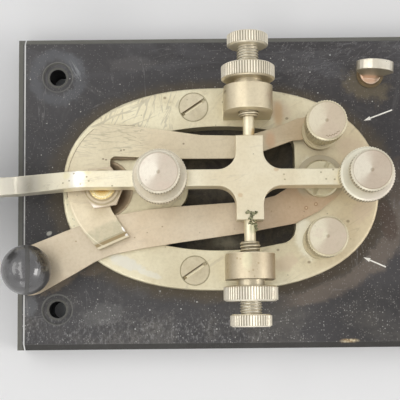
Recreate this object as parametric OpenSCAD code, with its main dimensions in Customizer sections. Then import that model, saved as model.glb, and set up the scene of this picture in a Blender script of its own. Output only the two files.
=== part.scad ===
// Straight telegraph key on a black base: an oval nickel-plated frame carries a
// cross-shaped lever between two pivot screws, with a sprung front contact, a
// rear stop screw, a circuit closer and two binding posts.
// +X points to the back of the key, +Z is up, and the origin lies on the
// bottom face, in the middle of the four base holes.

/* [Base] */
// Length of the base plate
base_l = 120.6; // [116:0.1:140]
// Width of the base plate
base_w = 79.4; // [76:0.1:100]
// Thickness of the base plate
base_t = 9.5; // [8.5:0.1:14]
// Bevel round the top edge of the base
base_bevel = 1.5; // [0.5:0.1:2.5]
// Distance between the base holes along the base
hole_dx = 100.2; // [98:0.1:108]
// Distance between the base holes across the base
hole_dy = 59.2; // [56:0.1:64]
// Diameter of a base hole
hole_d = 4.2; // [3:0.1:5]
// Diameter of the shallow ring round a base hole
hole_ring_d = 7.4; // [6:0.1:9]
// Depth of the shallow ring round a base hole
hole_ring_depth = 0.5; // [0.2:0.1:1.5]
// Thickness of the base left over the nuts
base_web = 4.5; // [3.5:0.1:6]
// Diameter of the pocket under the base for a nut
nut_pocket_d = 11; // [10.2:0.1:12.5]

/* [Frame] */
// Length of the oval frame
frame_l = 78.4; // [76:0.1:84]
// Width of the oval frame
frame_w = 50.6; // [49:0.1:54]
// Power of the oval outline: 2 is an ellipse, more is squarer
frame_power = 2.35; // [2:0.05:2.6]
// Thickness of the frame
frame_t = 4.8; // [4:0.1:6]
// Middle of the frame, behind the middle of the base
frame_x = -8.9; // [-10:0.1:-8]
// Radius on the top edge of the frame
frame_edge_r = 0.6; // [0.2:0.1:1]
// Length of the full ellipse that the opening follows
opening_l = 66; // [64:0.1:68]
// Width of the opening
opening_w = 31; // [29.6:0.1:31.6]
// Back end of the opening
opening_back_x = 9.5; // [9:0.1:9.7]
// Front end of the opening
opening_front_x = -28.5; // [-29:0.1:-27.5]
// Corner radius at the back of the opening
opening_corner_r = 4; // [2:0.1:5]
// Width of the tongue under the spring
tongue_w = 12.8; // [11:0.1:13.4]
// Radius of the clearance hole round the contact stud
stud_clear_r = 7.3; // [6.4:0.1:7.6]
// Place of the frame screws along the base
frame_screw_x = -15.5; // [-17:0.1:-14]
// Place of the frame screws across the base
frame_screw_y = 20.4; // [19.9:0.1:20.8]
// Head diameter of a frame screw
frame_screw_head_d = 7; // [6:0.1:7.4]
// Shank diameter of a frame screw
frame_screw_d = 3.5; // [3:0.1:4]

/* [Pivot lugs] */
// Place of the pivot line along the base
axle_x = -2.3; // [-3.3:0.1:-1.3]
// Height of the pivot line over the frame
axle_rise = 8.9; // [8.6:0.1:10.5]
// Width of a lug along the base
lug_w = 11.7; // [10:0.1:12]
// Thickness of a lug
lug_t = 6.1; // [5:0.1:6.4]
// Clear distance between the lugs
lug_gap = 34; // [33.6:0.1:34.4]
// Diameter of the axle
axle_d = 2.76; // [2.4:0.02:3.2]
// Length of the axle between its cones
axle_l = 29.8; // [29.4:0.1:30.6]
// Length of the cone at each end of the axle
axle_cone_l = 1.4; // [1:0.1:1.8]
// Gap from the lug to the inner end of a pivot screw
pivot_screw_in = 2; // [1.7:0.05:2.1]
// Diameter of the turned-down inner end of a pivot screw
pivot_tip_d = 4.3; // [4:0.1:4.6]
// Gap from the lug to the head of a pivot screw
pivot_head_out = 9; // [8.4:0.1:11]

/* [Screws and lock nuts] */
// Thread diameter of the adjusting screws
screw_d = 4.8; // [4.4:0.1:5]
// Diameter of a knurled screw head
head_d = 9.9; // [8.5:0.1:11]
// Thickness of a knurled screw head
head_t = 3; // [2.4:0.1:4]
// Diameter of a knurled lock nut
locknut_d = 12.9; // [11.5:0.1:13]
// Thickness of a knurled lock nut
locknut_t = 3.6; // [2.8:0.1:4.2]
// Diameter of the hub on a pivot lock nut
hub_d = 6.7; // [6.2:0.1:9]
// Length of the hub on a pivot lock nut
hub_l = 1.5; // [0.8:0.1:2]
// Bare thread between a lock nut and the screw head on the lever
screw_show = 2.7; // [1.5:0.1:5]
// Distance between the grooves round a knurled rim
knurl_pitch = 0.68; // [0.6:0.02:1.2]
// Depth of a knurl groove
knurl_depth = 0.16; // [0.1:0.02:0.3]
// Bevel on a knurled rim
rim_bevel = 0.3; // [0.2:0.05:0.8]

/* [Lever] */
// Sideways place of the lever between its pivot screws
lever_y = 0.8; // [0:0.1:1]
// Width of the lever bar
lever_w = 3.9; // [3.6:0.1:5.4]
// Height of the lever bar
lever_h = 5.6; // [5.2:0.1:6.4]
// Top of the lever over the pivot line
lever_over = 3; // [2.6:0.1:3.4]
// Width of a cross arm
arm_w = 6.4; // [5.6:0.1:7.4]
// Length over both cross arms
arm_l = 20; // [17:0.1:23]
// Radius in the corners of the cross
cross_r = 4.4; // [3:0.1:5]
// Diameter of the bosses round the adjusting screws
boss_d = 10; // [9:0.1:11]
// Place of the spring screw along the base
spring_x = -23.4; // [-24:0.1:-23]
// Place of the stop screw along the base
stop_x = 24.8; // [24.5:0.1:25.6]
// Place of the small step on top of the bar
step_x = -30; // [-33:0.1:-29.5]
// Height of the small step on top of the bar
step_h = 0.2; // [0.1:0.05:0.5]
// Start of the bend towards the knob
bend_x = -41; // [-43:0.1:-40]
// Slope of the bar between its two bends
bend_angle = 29; // [20:1:32]
// Radius of the upper bend
bend_upper_r = 6; // [4:0.5:8]
// Radius of the lower bend
bend_lower_r = 16; // [10:0.5:18]
// Drop from the bar to the knob seat
knob_drop = 11.3; // [9:0.1:12]
// Bar height at the knob
lever_front_h = 3.4; // [3:0.1:4]
// Bar width at the knob
lever_front_w = 4.5; // [4:0.1:8]

/* [Knob] */
// Place of the knob along the base
knob_x = -77; // [-80:0.1:-76]
// Widest diameter of the knob
knob_d = 29; // [24:0.5:31]
// Height of the knob
knob_h = 16.5; // [14:0.5:20]
// Diameter of the foot of the knob
knob_foot_d = 17; // [12:0.5:19]
// Diameter of the waist of the knob
knob_waist_d = 13; // [10:0.5:15]
// Diameter of the seat under the knob
knob_seat_d = 10.6; // [9:0.1:12]
// Thread diameter of the knob screw
knob_screw_d = 4; // [3:0.1:4.4]

/* [Contacts] */
// Place of the contacts along the base
contact_x = -37.9; // [-38.4:0.1:-37.6]
// Gap between the contacts at rest
contact_gap = 0.8; // [0.75:0.05:1.2]
// Diameter of the contact disc on the stud
disc_d = 6.2; // [4.5:0.1:7]
// Thickness of the contact disc on the stud
disc_t = 0.4; // [0.3:0.1:0.8]
// Diameter of the contact on the lever
upper_contact_d = 3.6; // [3:0.1:3.8]
// Width across the flats of the stud head
stud_hex_w = 9.53; // [8.6:0.01:9.6]
// Diameter of the collar on the stud head
stud_collar_d = 8.2; // [7.2:0.1:8.4]
// Height of the collar on the stud head
stud_collar_t = 0.5; // [0.3:0.1:0.8]
// Shank diameter of the stud
stud_d = 4.2; // [3.6:0.1:4.6]
// Distance from the contact on the lever to the bar above it
upper_contact_t = 1.2; // [0.8:0.1:1.6]

/* [Contact strap] */
// Thickness of the contact strap
strap_t = 0.8; // [0.6:0.1:1]
// Rise of the turned-up lip at the end of the strap
lip_rise = 0.7; // [0:0.1:1.2]
// Radius of the eye of the strap
strap_eye_r = 4.35; // [3.8:0.05:4.8]

/* [Return spring] */
// Mean diameter of the return spring
spring_d = 4.2; // [4:0.1:4.4]
// Wire diameter of the return spring
spring_wire = 0.7; // [0.5:0.05:0.75]
// Number of curls
spring_curls = 4; // [3:1:4]
// Depth of the spring seat in the frame
spring_seat_depth = 1; // [0.5:0.1:2]

/* [Circuit closer] */
// Place of the closer pivot along the base
closer_x = 15.6; // [15.2:0.1:16]
// Place of the closer pivot across the base
closer_y = 1.8; // [1.4:0.1:2.2]
// Thickness of the closer arm
closer_t = 1.1; // [0.9:0.1:1.3]
// Radius of the eye of the closer arm
closer_eye_r = 6; // [5:0.1:6.2]
// Place of the closer ball along the base
ball_x = -55.8; // [-57:0.1:-55]
// Place of the closer ball across the base
ball_y = -20.2; // [-21:0.1:-19.6]
// Diameter of the closer ball
ball_d = 12; // [11:0.1:13]
// Radius of the end of the closer arm under the ball
closer_end_r = 5.9; // [5:0.1:6.2]
// Head diameter of the closer pivot screw
pivot_head_d = 9.2; // [8:0.1:10]
// Head thickness of the closer pivot screw
pivot_head_t = 1.7; // [1.2:0.1:1.9]

/* [Binding posts] */
// Place of the binding posts along the base
post_x = 15.6; // [15.2:0.1:16]
// Place of the binding posts across the base
post_y = 13.4; // [13:0.1:13.8]
// Stud diameter of a binding post
post_d = 4.2; // [3.6:0.1:4.4]
// Diameter of the collar on the stud
post_collar_d = 9; // [8:0.1:9.4]
// Thickness of the collar on the stud
post_collar_t = 1; // [0.6:0.1:1.6]
// Thickness of the clamp washer
clamp_washer_t = 0.6; // [0.4:0.1:1]
// Diameter of the knurled head of a binding nut
post_head_d = 9.7; // [8.6:0.1:10.4]
// Height of the knurled head of a binding nut
post_head_t = 5.5; // [4:0.1:7]
// Diameter of the neck of a binding nut
post_neck_d = 7.6; // [6.8:0.1:8.4]
// Height of the neck of a binding nut
post_neck_t = 6.3; // [4:0.1:8]

/* [Thumb screw] */
// Place of the thumb screw along the base
thumb_x = 29.5; // [28.8:0.1:30]
// Place of the thumb screw across the base
thumb_y = 29.4; // [28.8:0.1:30]
// Width of the flat thumb piece
thumb_w = 9.2; // [8:0.1:11]
// Height of the thumb screw over the base
thumb_h = 10.4; // [9:0.1:12]
// Thickness of the flat thumb piece
thumb_t = 2.4; // [1.6:0.1:3]
// Shank diameter of the thumb screw
thumb_screw_d = 4.2; // [3.4:0.1:4.4]

/* [Fits] */
// Radial clearance of a turning shaft
run_gap = 0.05; // [0.03:0.01:0.08]
// Clearance between faces that slide past each other
face_gap = 0.05; // [0.03:0.01:0.08]
// Radial clearance of a fixed piece in its hole
fixed_gap = 0.02; // [0.01:0.01:0.05]

/* [Hidden] */
$fn = 48;

// Heights of the main faces over the bottom of the base
frame_top = base_t + frame_t;
axle_z = frame_top + axle_rise;
lever_top = axle_z + lever_over;
lever_bottom = lever_top - lever_h;
pocket_top = base_t - base_web;
closer_washer_t = 0.1;
closer_z = frame_top + closer_washer_t + face_gap;
closer_top = closer_z + closer_t;
strap_z = closer_top + face_gap;
insulator_t = strap_z - frame_top;
strap_top = strap_z + strap_t;
upper_contact_z = lever_bottom - upper_contact_t;
disc_top = upper_contact_z - contact_gap;
stud_hex_top = disc_top - disc_t - stud_collar_t;

// The oval frame
frame_a = frame_l / 2;
frame_b = frame_w / 2;
opening_a = opening_l / 2;
opening_b = opening_w / 2;
frame_steps = 72;
countersink_depth = (frame_screw_head_d - frame_screw_d) / 2;
lug_in = lug_gap / 2;
lug_out = lug_in + lug_t;

// The lever and its screws
thread_bore_r = screw_d / 2 + run_gap;
bar_half = lever_w / 2;
slope_run = (knob_drop - step_h - (bend_upper_r + bend_lower_r) * (1 - cos(bend_angle)))
            / tan(bend_angle);
bend_end_x = bend_x - (bend_upper_r + bend_lower_r) * sin(bend_angle) - slope_run;
knob_seat_z = lever_top - knob_drop;
screw_head_z = lever_top + face_gap + locknut_t + screw_show;
stop_tip_z = frame_top + face_gap;
stop_tip_r = 1.5;
stop_tip_l = 1.8;
spring_foot_z = frame_top - spring_seat_depth;
spring_head_z = lever_bottom - 1;
spring_pin_r = 1.2;
spring_pin_l = 3;
cup_gap = 0.06;

// The circuit closer
closer_shoulder_r = 2.8;
ball_flat = 5.2;

// Small fasteners
small_nut_w = 7.9;
small_nut_t = 2.4;
stud_nut_w = 8.73;
stud_nut_t = 2.4;
stud_end_z = 1.6;
slot_w = 0.9;
post_bush_r = 3.35;
link_t = 0.8;
link_w = 6.4;
insert_r = 3;
insert_neck_r = 2.8;
insert_flange_r = 3.4;
insert_flange_t = 0.3;
post_bore_r = post_d / 2 + fixed_gap;
post_base_a = strap_top;
post_base_b = frame_top;
thumb_neck_r = 1.7;
thumb_foot_r = 2.6;
thumb_foot_t = 0.9;
thumb_wide_z = 0.66 * thumb_h;

// Point on a circle, and an arc of points between two angles
function on_circle(c, r, a) = [c[0] + r * cos(a), c[1] + r * sin(a)];
function arc(c, r, a0, a1, n) = [for (i = [0:n]) on_circle(c, r, a0 + (a1 - a0) * i / n)];
function ellipse_point(c, a, b, t) = [c + a * cos(t), b * sin(t)];

// Point of an oval that is squarer than an ellipse, and the number of grooves on a rim
function squared(v) = sign(v) * pow(abs(v), 2 / frame_power);
function oval_point(c, a, b, t) = [c + a * squared(cos(t)), b * squared(sin(t))];
function groove_count(d) = round(PI * d / knurl_pitch);

// Half thickness of the sloping bar, from the full bar down to the knob
function bar_height(x) = x > bend_x ? lever_h - step_h
    : max(lever_front_h, lever_h - step_h
          - (lever_h - step_h - lever_front_h) * (bend_x - x) / (bend_x - bend_end_x));

// Top line of the bent front of the lever as points with the local slope
upper_bend = [for (i = [0:4]) let (a = bend_angle * i / 4)
    [bend_x - bend_upper_r * sin(a), lever_top - step_h - bend_upper_r * (1 - cos(a)), a]];
lower_bend = [for (i = [0:6]) let (a = bend_angle * (1 - i / 6))
    [bend_end_x + bend_lower_r * sin(a), knob_seat_z + bend_lower_r * (1 - cos(a)), a]];
front_line = concat(upper_bend, lower_bend, [[knob_x, knob_seat_z, 0]]);
under_line = [for (p = front_line) let (h = bar_height(p[0]))
    [p[0] + h * sin(p[2]), p[1] - h * cos(p[2])]];

// A rim with straight grooves and bevelled edges, standing on z = 0
module knurled_rim(d, t) {
    grooves = groove_count(d);
    root = d / 2 - knurl_depth;
    cone_r = root - 0.04;
    rotate_extrude()
        polygon([[0, 0], [cone_r - rim_bevel, 0], [cone_r, rim_bevel], [0, rim_bevel]]);
    translate([0, 0, rim_bevel])
        linear_extrude(t - 2 * rim_bevel)
            polygon([for (i = [0:2 * grooves - 1])
                on_circle([0, 0], i % 2 == 0 ? d / 2 : root, 180 * i / grooves)]);
    translate([0, 0, t - rim_bevel])
        rotate_extrude()
            polygon([[0, 0], [cone_r, 0], [cone_r - rim_bevel, rim_bevel], [0, rim_bevel]]);
}

// A plain round bar from one height to another
module bar(r, z0, z1) {
    translate([0, 0, z0]) cylinder(r = r, h = z1 - z0);
}

// A six-sided block across flats w
module hex(w, z0, z1) {
    translate([0, 0, z0])
        linear_extrude(z1 - z0)
            polygon([for (i = [0:5]) on_circle([0, 0], w / sqrt(3), 60 * i)]);
}

// A screwdriver slot cut down from the height z
module slot(length, depth, z, turn) {
    rotate([0, 0, turn])
        translate([-length / 2, -slot_w / 2, z - depth])
            cube([length, slot_w, depth + 1]);
}

// Bar along Y at the pivot line, from one distance to another
module cross_bar(r, y0, y1) {
    translate([axle_x, y0, axle_z]) rotate([-90, 0, 0]) cylinder(r = r, h = y1 - y0);
}

// Places of the two frame screws
module at_frame_screws() {
    for (side = [-1, 1]) translate([frame_screw_x, side * frame_screw_y, 0]) children();
}

// Base plate with bevelled top edge, base holes and pockets underneath
module base_plate() {
    flank = base_t - base_bevel;
    color("#26272a") difference() {
        intersection() {
            translate([-base_l / 2, 0, 0]) rotate([90, 0, 90]) linear_extrude(base_l)
                polygon([[-base_w / 2, 0], [base_w / 2, 0], [base_w / 2, flank],
                         [base_w / 2 - base_bevel, base_t],
                         [base_bevel - base_w / 2, base_t], [-base_w / 2, flank]]);
            translate([0, base_w / 2, 0]) rotate([90, 0, 0]) linear_extrude(base_w)
                polygon([[-base_l / 2, 0], [base_l / 2, 0], [base_l / 2, flank],
                         [base_l / 2 - base_bevel, base_t],
                         [base_bevel - base_l / 2, base_t], [-base_l / 2, flank]]);
        }
        for (sx = [-1, 1], sy = [-1, 1])
            translate([sx * hole_dx / 2, sy * hole_dy / 2, 0]) {
                bar(hole_d / 2, -1, base_t + 1);
                bar(hole_ring_d / 2, base_t - hole_ring_depth, base_t + 1);
            }
        at_frame_screws() {
            bar(frame_screw_d / 2 + fixed_gap, -1, base_t + 1);
            bar(nut_pocket_d / 2, -1, pocket_top);
        }
        for (side = [-1, 1]) translate([post_x, side * post_y, 0]) {
            bar(post_bore_r, -1, base_t + 1);
            bar(nut_pocket_d / 2, -1, pocket_top);
        }
        translate([contact_x, 0, 0]) {
            bar(stud_d / 2 + fixed_gap, -1, base_t + 1);
            bar(nut_pocket_d / 2, -1, pocket_top);
        }
        translate([thumb_x, thumb_y, 0]) {
            bar(insert_r + fixed_gap, -1, base_t + 1);
            bar(nut_pocket_d / 2, -1, pocket_top);
        }
        link_path(-1, pocket_top, link_w + 1.2);
    }
}

// Straight strip from the first post to the thumb screw
module link_path(z0, z1, w) {
    dx = thumb_x - post_x;
    dy = thumb_y - post_y;
    translate([post_x, post_y, z0]) rotate([0, 0, atan2(dy, dx)])
        translate([0, -w / 2, 0]) cube([norm([dx, dy]), w, z1 - z0]);
}

// Oval slab with a rounded top edge, as rings of points
module oval_slab() {
    levels = concat([[base_t, 0]],
        [for (i = [0:3]) let (a = 30 * i)
            [frame_top - frame_edge_r * (1 - sin(a)), frame_edge_r * (1 - cos(a))]]);
    n = frame_steps;
    last = len(levels) - 1;
    points = [for (lv = levels, i = [0:n - 1])
        let (p = oval_point(frame_x, frame_a - lv[1], frame_b - lv[1], 360 * i / n))
        [p[0], p[1], lv[0]]];
    sides = [for (k = [0:last - 1], i = [0:n - 1])
        [k * n + i, (k + 1) * n + i, (k + 1) * n + (i + 1) % n, k * n + (i + 1) % n]];
    polyhedron(points, concat([[for (i = [0:n - 1]) i]], sides,
        [[for (i = [n - 1:-1:0]) last * n + i]]));
}

// Outline of the opening without its tongue
function opening_outline() =
    let (corner = [opening_back_x - opening_corner_r,
                   opening_b * sqrt(1 - pow((opening_back_x - opening_corner_r - frame_x)
                                            / opening_a, 2)) - opening_corner_r],
         t0 = acos((corner[0] - frame_x) / opening_a),
         t1 = acos((opening_front_x - frame_x) / opening_a),
         top = [for (i = [0:24])
             ellipse_point(frame_x, opening_a, opening_b, t0 + (t1 - t0) * i / 24)],
         right = arc(corner, opening_corner_r, 0, 84, 6),
         upper = concat(right, top))
    concat(upper, [for (i = [len(upper) - 1:-1:0]) [upper[i][0], -upper[i][1]]]);

// The opening that the base shows through, open round the spring tongue
module frame_opening() {
    difference() {
        translate([0, 0, base_t - 1]) linear_extrude(frame_t + 2) polygon(opening_outline());
        translate([spring_x, 0, 0]) bar(tongue_w / 2, 0, frame_top + 2);
        translate([opening_front_x - 1, -tongue_w / 2, 0])
            cube([spring_x - opening_front_x + 1, tongue_w, frame_top + 2]);
    }
}

// Upright lug with a round top, on one side
module lug(side) {
    y0 = side > 0 ? lug_in : -lug_out;
    cross_bar(lug_w / 2, y0, y0 + lug_t);
    translate([axle_x - lug_w / 2, y0, frame_top - 1]) cube([lug_w, lug_t, axle_rise + 1]);
}

// Oval frame with its lugs
module key_frame() {
    color("#cfc6ae") difference() {
        union() {
            oval_slab();
            lug(1);
            lug(-1);
        }
        frame_opening();
        cross_bar(thread_bore_r, -lug_out - 1, -lug_in + 1);
        cross_bar(thread_bore_r, lug_in - 1, lug_out + 1);
        translate([contact_x, 0, 0]) bar(stud_clear_r, base_t - 1, frame_top + 1);
        translate([spring_x, lever_y, 0])
            bar(spring_d / 2 + spring_wire, spring_foot_z, frame_top + 1);
        at_frame_screws() {
            bar(frame_screw_d / 2 + fixed_gap, base_t - 1, frame_top + 1);
            translate([0, 0, frame_top - countersink_depth])
                cylinder(r1 = frame_screw_d / 2, r2 = frame_screw_head_d / 2, h = countersink_depth);
        }
        translate([post_x, post_y, 0]) bar(post_bush_r + fixed_gap, base_t - 1, frame_top + 1);
        translate([post_x, -post_y, 0]) bar(post_bore_r, base_t - 1, frame_top + 1);
        translate([closer_x, closer_y, 0])
            bar(closer_shoulder_r - 0.8 + fixed_gap, base_t - 1, frame_top + 1);
    }
}

// Flat-head slotted screws that hold the frame
module frame_screws() {
    color("#c9bfa6") at_frame_screws() difference() {
        union() {
            bar(frame_screw_d / 2, stud_end_z, frame_top - countersink_depth);
            translate([0, 0, frame_top - countersink_depth])
                cylinder(r1 = frame_screw_d / 2, r2 = frame_screw_head_d / 2 - fixed_gap,
                         h = countersink_depth);
        }
        slot(frame_screw_head_d + 1, 0.9, frame_top, 34);
    }
}

// Nuts of the frame screws, in their pockets
module frame_nuts() {
    color("#b8a878") at_frame_screws() difference() {
        hex(small_nut_w, pocket_top - small_nut_t, pocket_top);
        bar(frame_screw_d / 2 + fixed_gap, 0, base_t);
    }
}

// Outer edge of the strap round the front of the frame
strap_round_c = [-28.7, 0.7];
strap_round_r = 18;
strap_foot_y = -2;
strap_inner_x = -36.1;
strap_corner_r = 1.3;

// Sides of the tab that lies over the closer arm, and the fold of the lip at its end
tab_turn = -67;
tab_fold = 12.3;
tab_end = 15;
tab_side = [[-35.6, -5.8], [-31.4, -12.1]];
tab_heel = [[-38.9, -15.3], on_circle(strap_round_c, strap_round_r, 219)];
function along_tab(p) = (p[0] - contact_x) * cos(tab_turn) + p[1] * sin(tab_turn);
function at_fold(a, b) = a + (b - a) * (tab_fold - along_tab(a)) / (along_tab(b) - along_tab(a));

// Flat outline of the strap with its tab, without its eye
function strap_outline() = concat(
    [[strap_inner_x, -4.6], tab_side[0],
     at_fold(tab_side[0], tab_side[1]), at_fold(tab_heel[0], tab_heel[1])],
    arc(strap_round_c, strap_round_r, 219, 128, 18),
    [[-38, 15.9], [-30, 15.3], [-21.6, 14.1], [-13.7, 12.9], [-5.3, 12.7], [0, 13.3],
     [5.4, 14.9], [10, 16.8], [post_x - 1, post_y + strap_eye_r - 0.2]],
    [[post_x, post_y], [post_x - strap_eye_r * 0.9, post_y - strap_eye_r * 0.42],
     [8.8, 11.3], [1.8, 8.8], [-6.1, 7], [-18.5, 7.1]],
    arc([strap_inner_x + strap_corner_r, 6.5], strap_corner_r, 90, 180, 4));

// Side view of the turned-up lip, along the tab, with its root inside the flat strap
lip_profile = [[tab_fold - 1, strap_z + 0.1], [tab_fold + 0.1, strap_z + 0.1],
               [tab_end, strap_z + 2 * lip_rise], [tab_end, strap_top + 2 * lip_rise],
               [tab_fold - 1, strap_top - 0.2]];

// Contact strap from the insulated post round to the tab over the closer arm
module contact_strap() {
    color("#cdbfa3") difference() {
        union() {
            translate([0, 0, strap_z]) linear_extrude(strap_t) polygon(strap_outline());
            translate([post_x, post_y, 0]) bar(strap_eye_r, strap_z, strap_top);
            translate([contact_x, 0, 0]) bar(4.6, strap_z, strap_top);
            intersection() {
                linear_extrude(frame_top + 20) polygon(concat(tab_side, tab_heel));
                translate([contact_x, 0, 0]) rotate([0, 0, tab_turn])
                    translate([0, 15, 0]) rotate([90, 0, 0]) linear_extrude(30)
                        polygon(lip_profile);
            }
        }
        translate([contact_x, 0, 0]) bar(stud_d / 2 + fixed_gap, 0, frame_top + 20);
        translate([post_x, post_y, 0]) bar(post_bore_r, 0, frame_top + 20);
    }
}

// Fibre sheet between the strap and the frame
module strap_insulator() {
    inset_r = strap_round_r + 0.3;
    color("#2d2620") difference() {
        translate([0, 0, frame_top]) linear_extrude(insulator_t)
            polygon(concat([[strap_inner_x, strap_foot_y]],
                arc(strap_round_c, inset_r, 188.6, 130, 12),
                [[-38, 16], [-30, 15.6], [-30, 7.2], [strap_inner_x, 7.2]]));
        translate([contact_x, 0, 0]) bar(stud_clear_r - 1.6, 0, frame_top + 5);
    }
}

// Hexagonal contact stud with its collar and threaded shank
module contact_stud() {
    color("#c8c0ae") translate([contact_x, 0, 0]) {
        rotate([0, 0, 8]) hex(stud_hex_w, strap_top, stud_hex_top);
        bar(stud_collar_d / 2, stud_hex_top, stud_hex_top + stud_collar_t);
        bar(stud_d / 2, stud_end_z, strap_top);
    }
}

// Contact disc on top of the stud
module contact_disc() {
    color("#d8a94a") translate([contact_x, 0, 0]) bar(disc_d / 2, disc_top - disc_t, disc_top);
}

// Spacer between the base and the strap, round the stud
module contact_spacer() {
    color("#b8a060") translate([contact_x, 0, 0]) difference() {
        bar(4, base_t, strap_z);
        bar(stud_d / 2 + fixed_gap, 0, strap_z + 1);
    }
}

// Stud of a binding post, with a collar on the face at z
module post_stud(z) {
    bar(post_d / 2, stud_end_z, z + post_collar_t + clamp_washer_t + post_neck_t + 2);
    bar(post_collar_d / 2, z, z + post_collar_t);
}

module post_stud_a() {
    color("#bdb49c") translate([post_x, post_y, 0]) post_stud(post_base_a);
}

module post_stud_b() {
    color("#bdb49c") translate([post_x, -post_y, 0]) post_stud(post_base_b);
}

// Insulating bush through the frame, with the washer under the eye
module post_insulator() {
    color("#2d2620") translate([post_x, post_y, 0]) difference() {
        union() {
            bar(post_bush_r, base_t, frame_top);
            bar(strap_eye_r - 0.1, frame_top, strap_z);
        }
        bar(post_bore_r, 0, strap_z + 1);
    }
}

// Nuts under the base on the two posts and the contact stud
module stud_nuts() {
    color("#b8a878")
        for (p = [[contact_x, 0, 0], [post_x, -post_y, 0], [post_x, post_y, link_t]])
            translate([p[0], p[1], 0]) difference() {
                hex(stud_nut_w, pocket_top - stud_nut_t - p[2], pocket_top - p[2]);
                bar(post_bore_r, 0, base_t);
            }
}

// Brass link under the base, from the first post to the thumb screw
module under_link() {
    color("#b89a55") difference() {
        union() {
            link_path(pocket_top - link_t, pocket_top, link_w);
            translate([post_x, post_y, 0]) bar(4.3, pocket_top - link_t, pocket_top);
            translate([thumb_x, thumb_y, 0]) bar(4.8, pocket_top - link_t, pocket_top);
        }
        translate([post_x, post_y, 0]) bar(post_bore_r, 0, base_t);
        translate([thumb_x, thumb_y, 0]) bar(insert_neck_r + fixed_gap, 0, base_t);
    }
}

// Threaded insert that the thumb screw enters
module terminal_insert() {
    color("#b89a55") translate([thumb_x, thumb_y, 0]) difference() {
        union() {
            bar(insert_neck_r, stud_end_z, pocket_top);
            bar(insert_r, pocket_top, base_t);
            bar(insert_flange_r, base_t, base_t + insert_flange_t);
        }
        bar(thumb_screw_d / 2 + run_gap, stud_end_z - 1, base_t + 2);
    }
}

// Nut that clamps the link to the insert
module insert_nut() {
    color("#b8a878") translate([thumb_x, thumb_y, 0]) difference() {
        hex(stud_nut_w, pocket_top - link_t - 1.8, pocket_top - link_t);
        bar(insert_neck_r + fixed_gap, 0, base_t);
    }
}

// Slotted shoulder screw that the closer turns on
module closer_pivot_screw() {
    head_z = closer_top + face_gap;
    color("#c9bfa6") translate([closer_x, closer_y, 0]) difference() {
        union() {
            bar(closer_shoulder_r - 0.8, base_t + 0.3, frame_top);
            bar(closer_shoulder_r, frame_top, head_z);
            translate([0, 0, head_z]) rotate_extrude()
                polygon([[0, 0], [pivot_head_d / 2, 0], [pivot_head_d / 2, pivot_head_t - 0.4],
                         [pivot_head_d / 2 - 0.4, pivot_head_t], [0, pivot_head_t]]);
        }
        slot(pivot_head_d + 1, 0.8, head_z + pivot_head_t, 65);
    }
}

// Thin washer under the closer arm
module closer_washer() {
    color("#b9ae94") translate([closer_x, closer_y, 0]) difference() {
        bar(closer_eye_r - 1, frame_top, frame_top + closer_washer_t);
        bar(closer_shoulder_r + fixed_gap, 0, frame_top + 2);
    }
}

// Return spring: one unbroken tube whose ends stand square on their seats
spring_r = spring_d / 2;
spring_rings = 8 * spring_curls;
spring_low = spring_foot_z + spring_wire;
spring_high = spring_head_z - spring_wire;
function spring_point(i) = let (a = 45 * i)
    [spring_x + spring_r * cos(a), lever_y + spring_r * sin(a),
     spring_low + (spring_high - spring_low) * i / spring_rings];
spring_path = concat(
    [[spring_x + spring_r, lever_y, spring_foot_z]],
    [for (i = [0:spring_rings]) spring_point(i)],
    [[spring_x + spring_r, lever_y, spring_head_z]]);
spring_rise = atan2((spring_high - spring_low) / spring_curls, PI * spring_d);

// Ring of six points round the wire, leaning with the curl
function wire_ring(i) =
    let (last = len(spring_path) - 1,
         c = spring_path[i],
         a = 45 * (i - 1),
         at_end = i == 0 || i == last,
         out = at_end ? [1, 0, 0] : [cos(a), sin(a), 0],
         lean = at_end ? 90 : (i == 1 || i == last - 1) ? 45 : spring_rise,
         up = at_end ? [0, -1, 0]
              : [sin(a) * sin(lean), -cos(a) * sin(lean), cos(lean)])
    [for (k = [0:5]) c + spring_wire / 2 * (cos(60 * k) * out + sin(60 * k) * up)];

spring_gap = min([for (i = [1:spring_rings - 7])
    norm(spring_path[i + 8] - spring_path[i]) - spring_wire]);
echo(least_gap_between_curls = spring_gap);

module return_spring() {
    rings = len(spring_path);
    points = [for (i = [0:rings - 1]) each wire_ring(i)];
    sides = [for (i = [0:rings - 2], k = [0:5])
        let (p = 6 * i + k, q = 6 * i + (k + 1) % 6)
        each [[p, p + 6, q], [q, p + 6, q + 6]]];
    ends = [for (k = [1:4]) each [[0, k, k + 1],
        [6 * (rings - 1), 6 * (rings - 1) + k + 1, 6 * (rings - 1) + k]]];
    color("#9a958a") polyhedron(points, concat(sides, ends));
}

// Plan of the lever bar, widening towards the knob
bar_plan = [[stop_x, bar_half], [bend_x, bar_half], [bend_end_x, lever_front_w / 2],
            [knob_x, lever_front_w / 2], [knob_x, -lever_front_w / 2],
            [bend_end_x, -lever_front_w / 2], [bend_x, -bar_half], [stop_x, -bar_half]];

// Side view of the lever bar
bar_side = concat(
    [[stop_x, lever_bottom], [stop_x, lever_top], [step_x, lever_top], [step_x, lever_top - step_h]],
    [for (p = front_line) [p[0], p[1]]],
    [for (i = [len(under_line) - 1:-1:0]) under_line[i]]);

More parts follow.
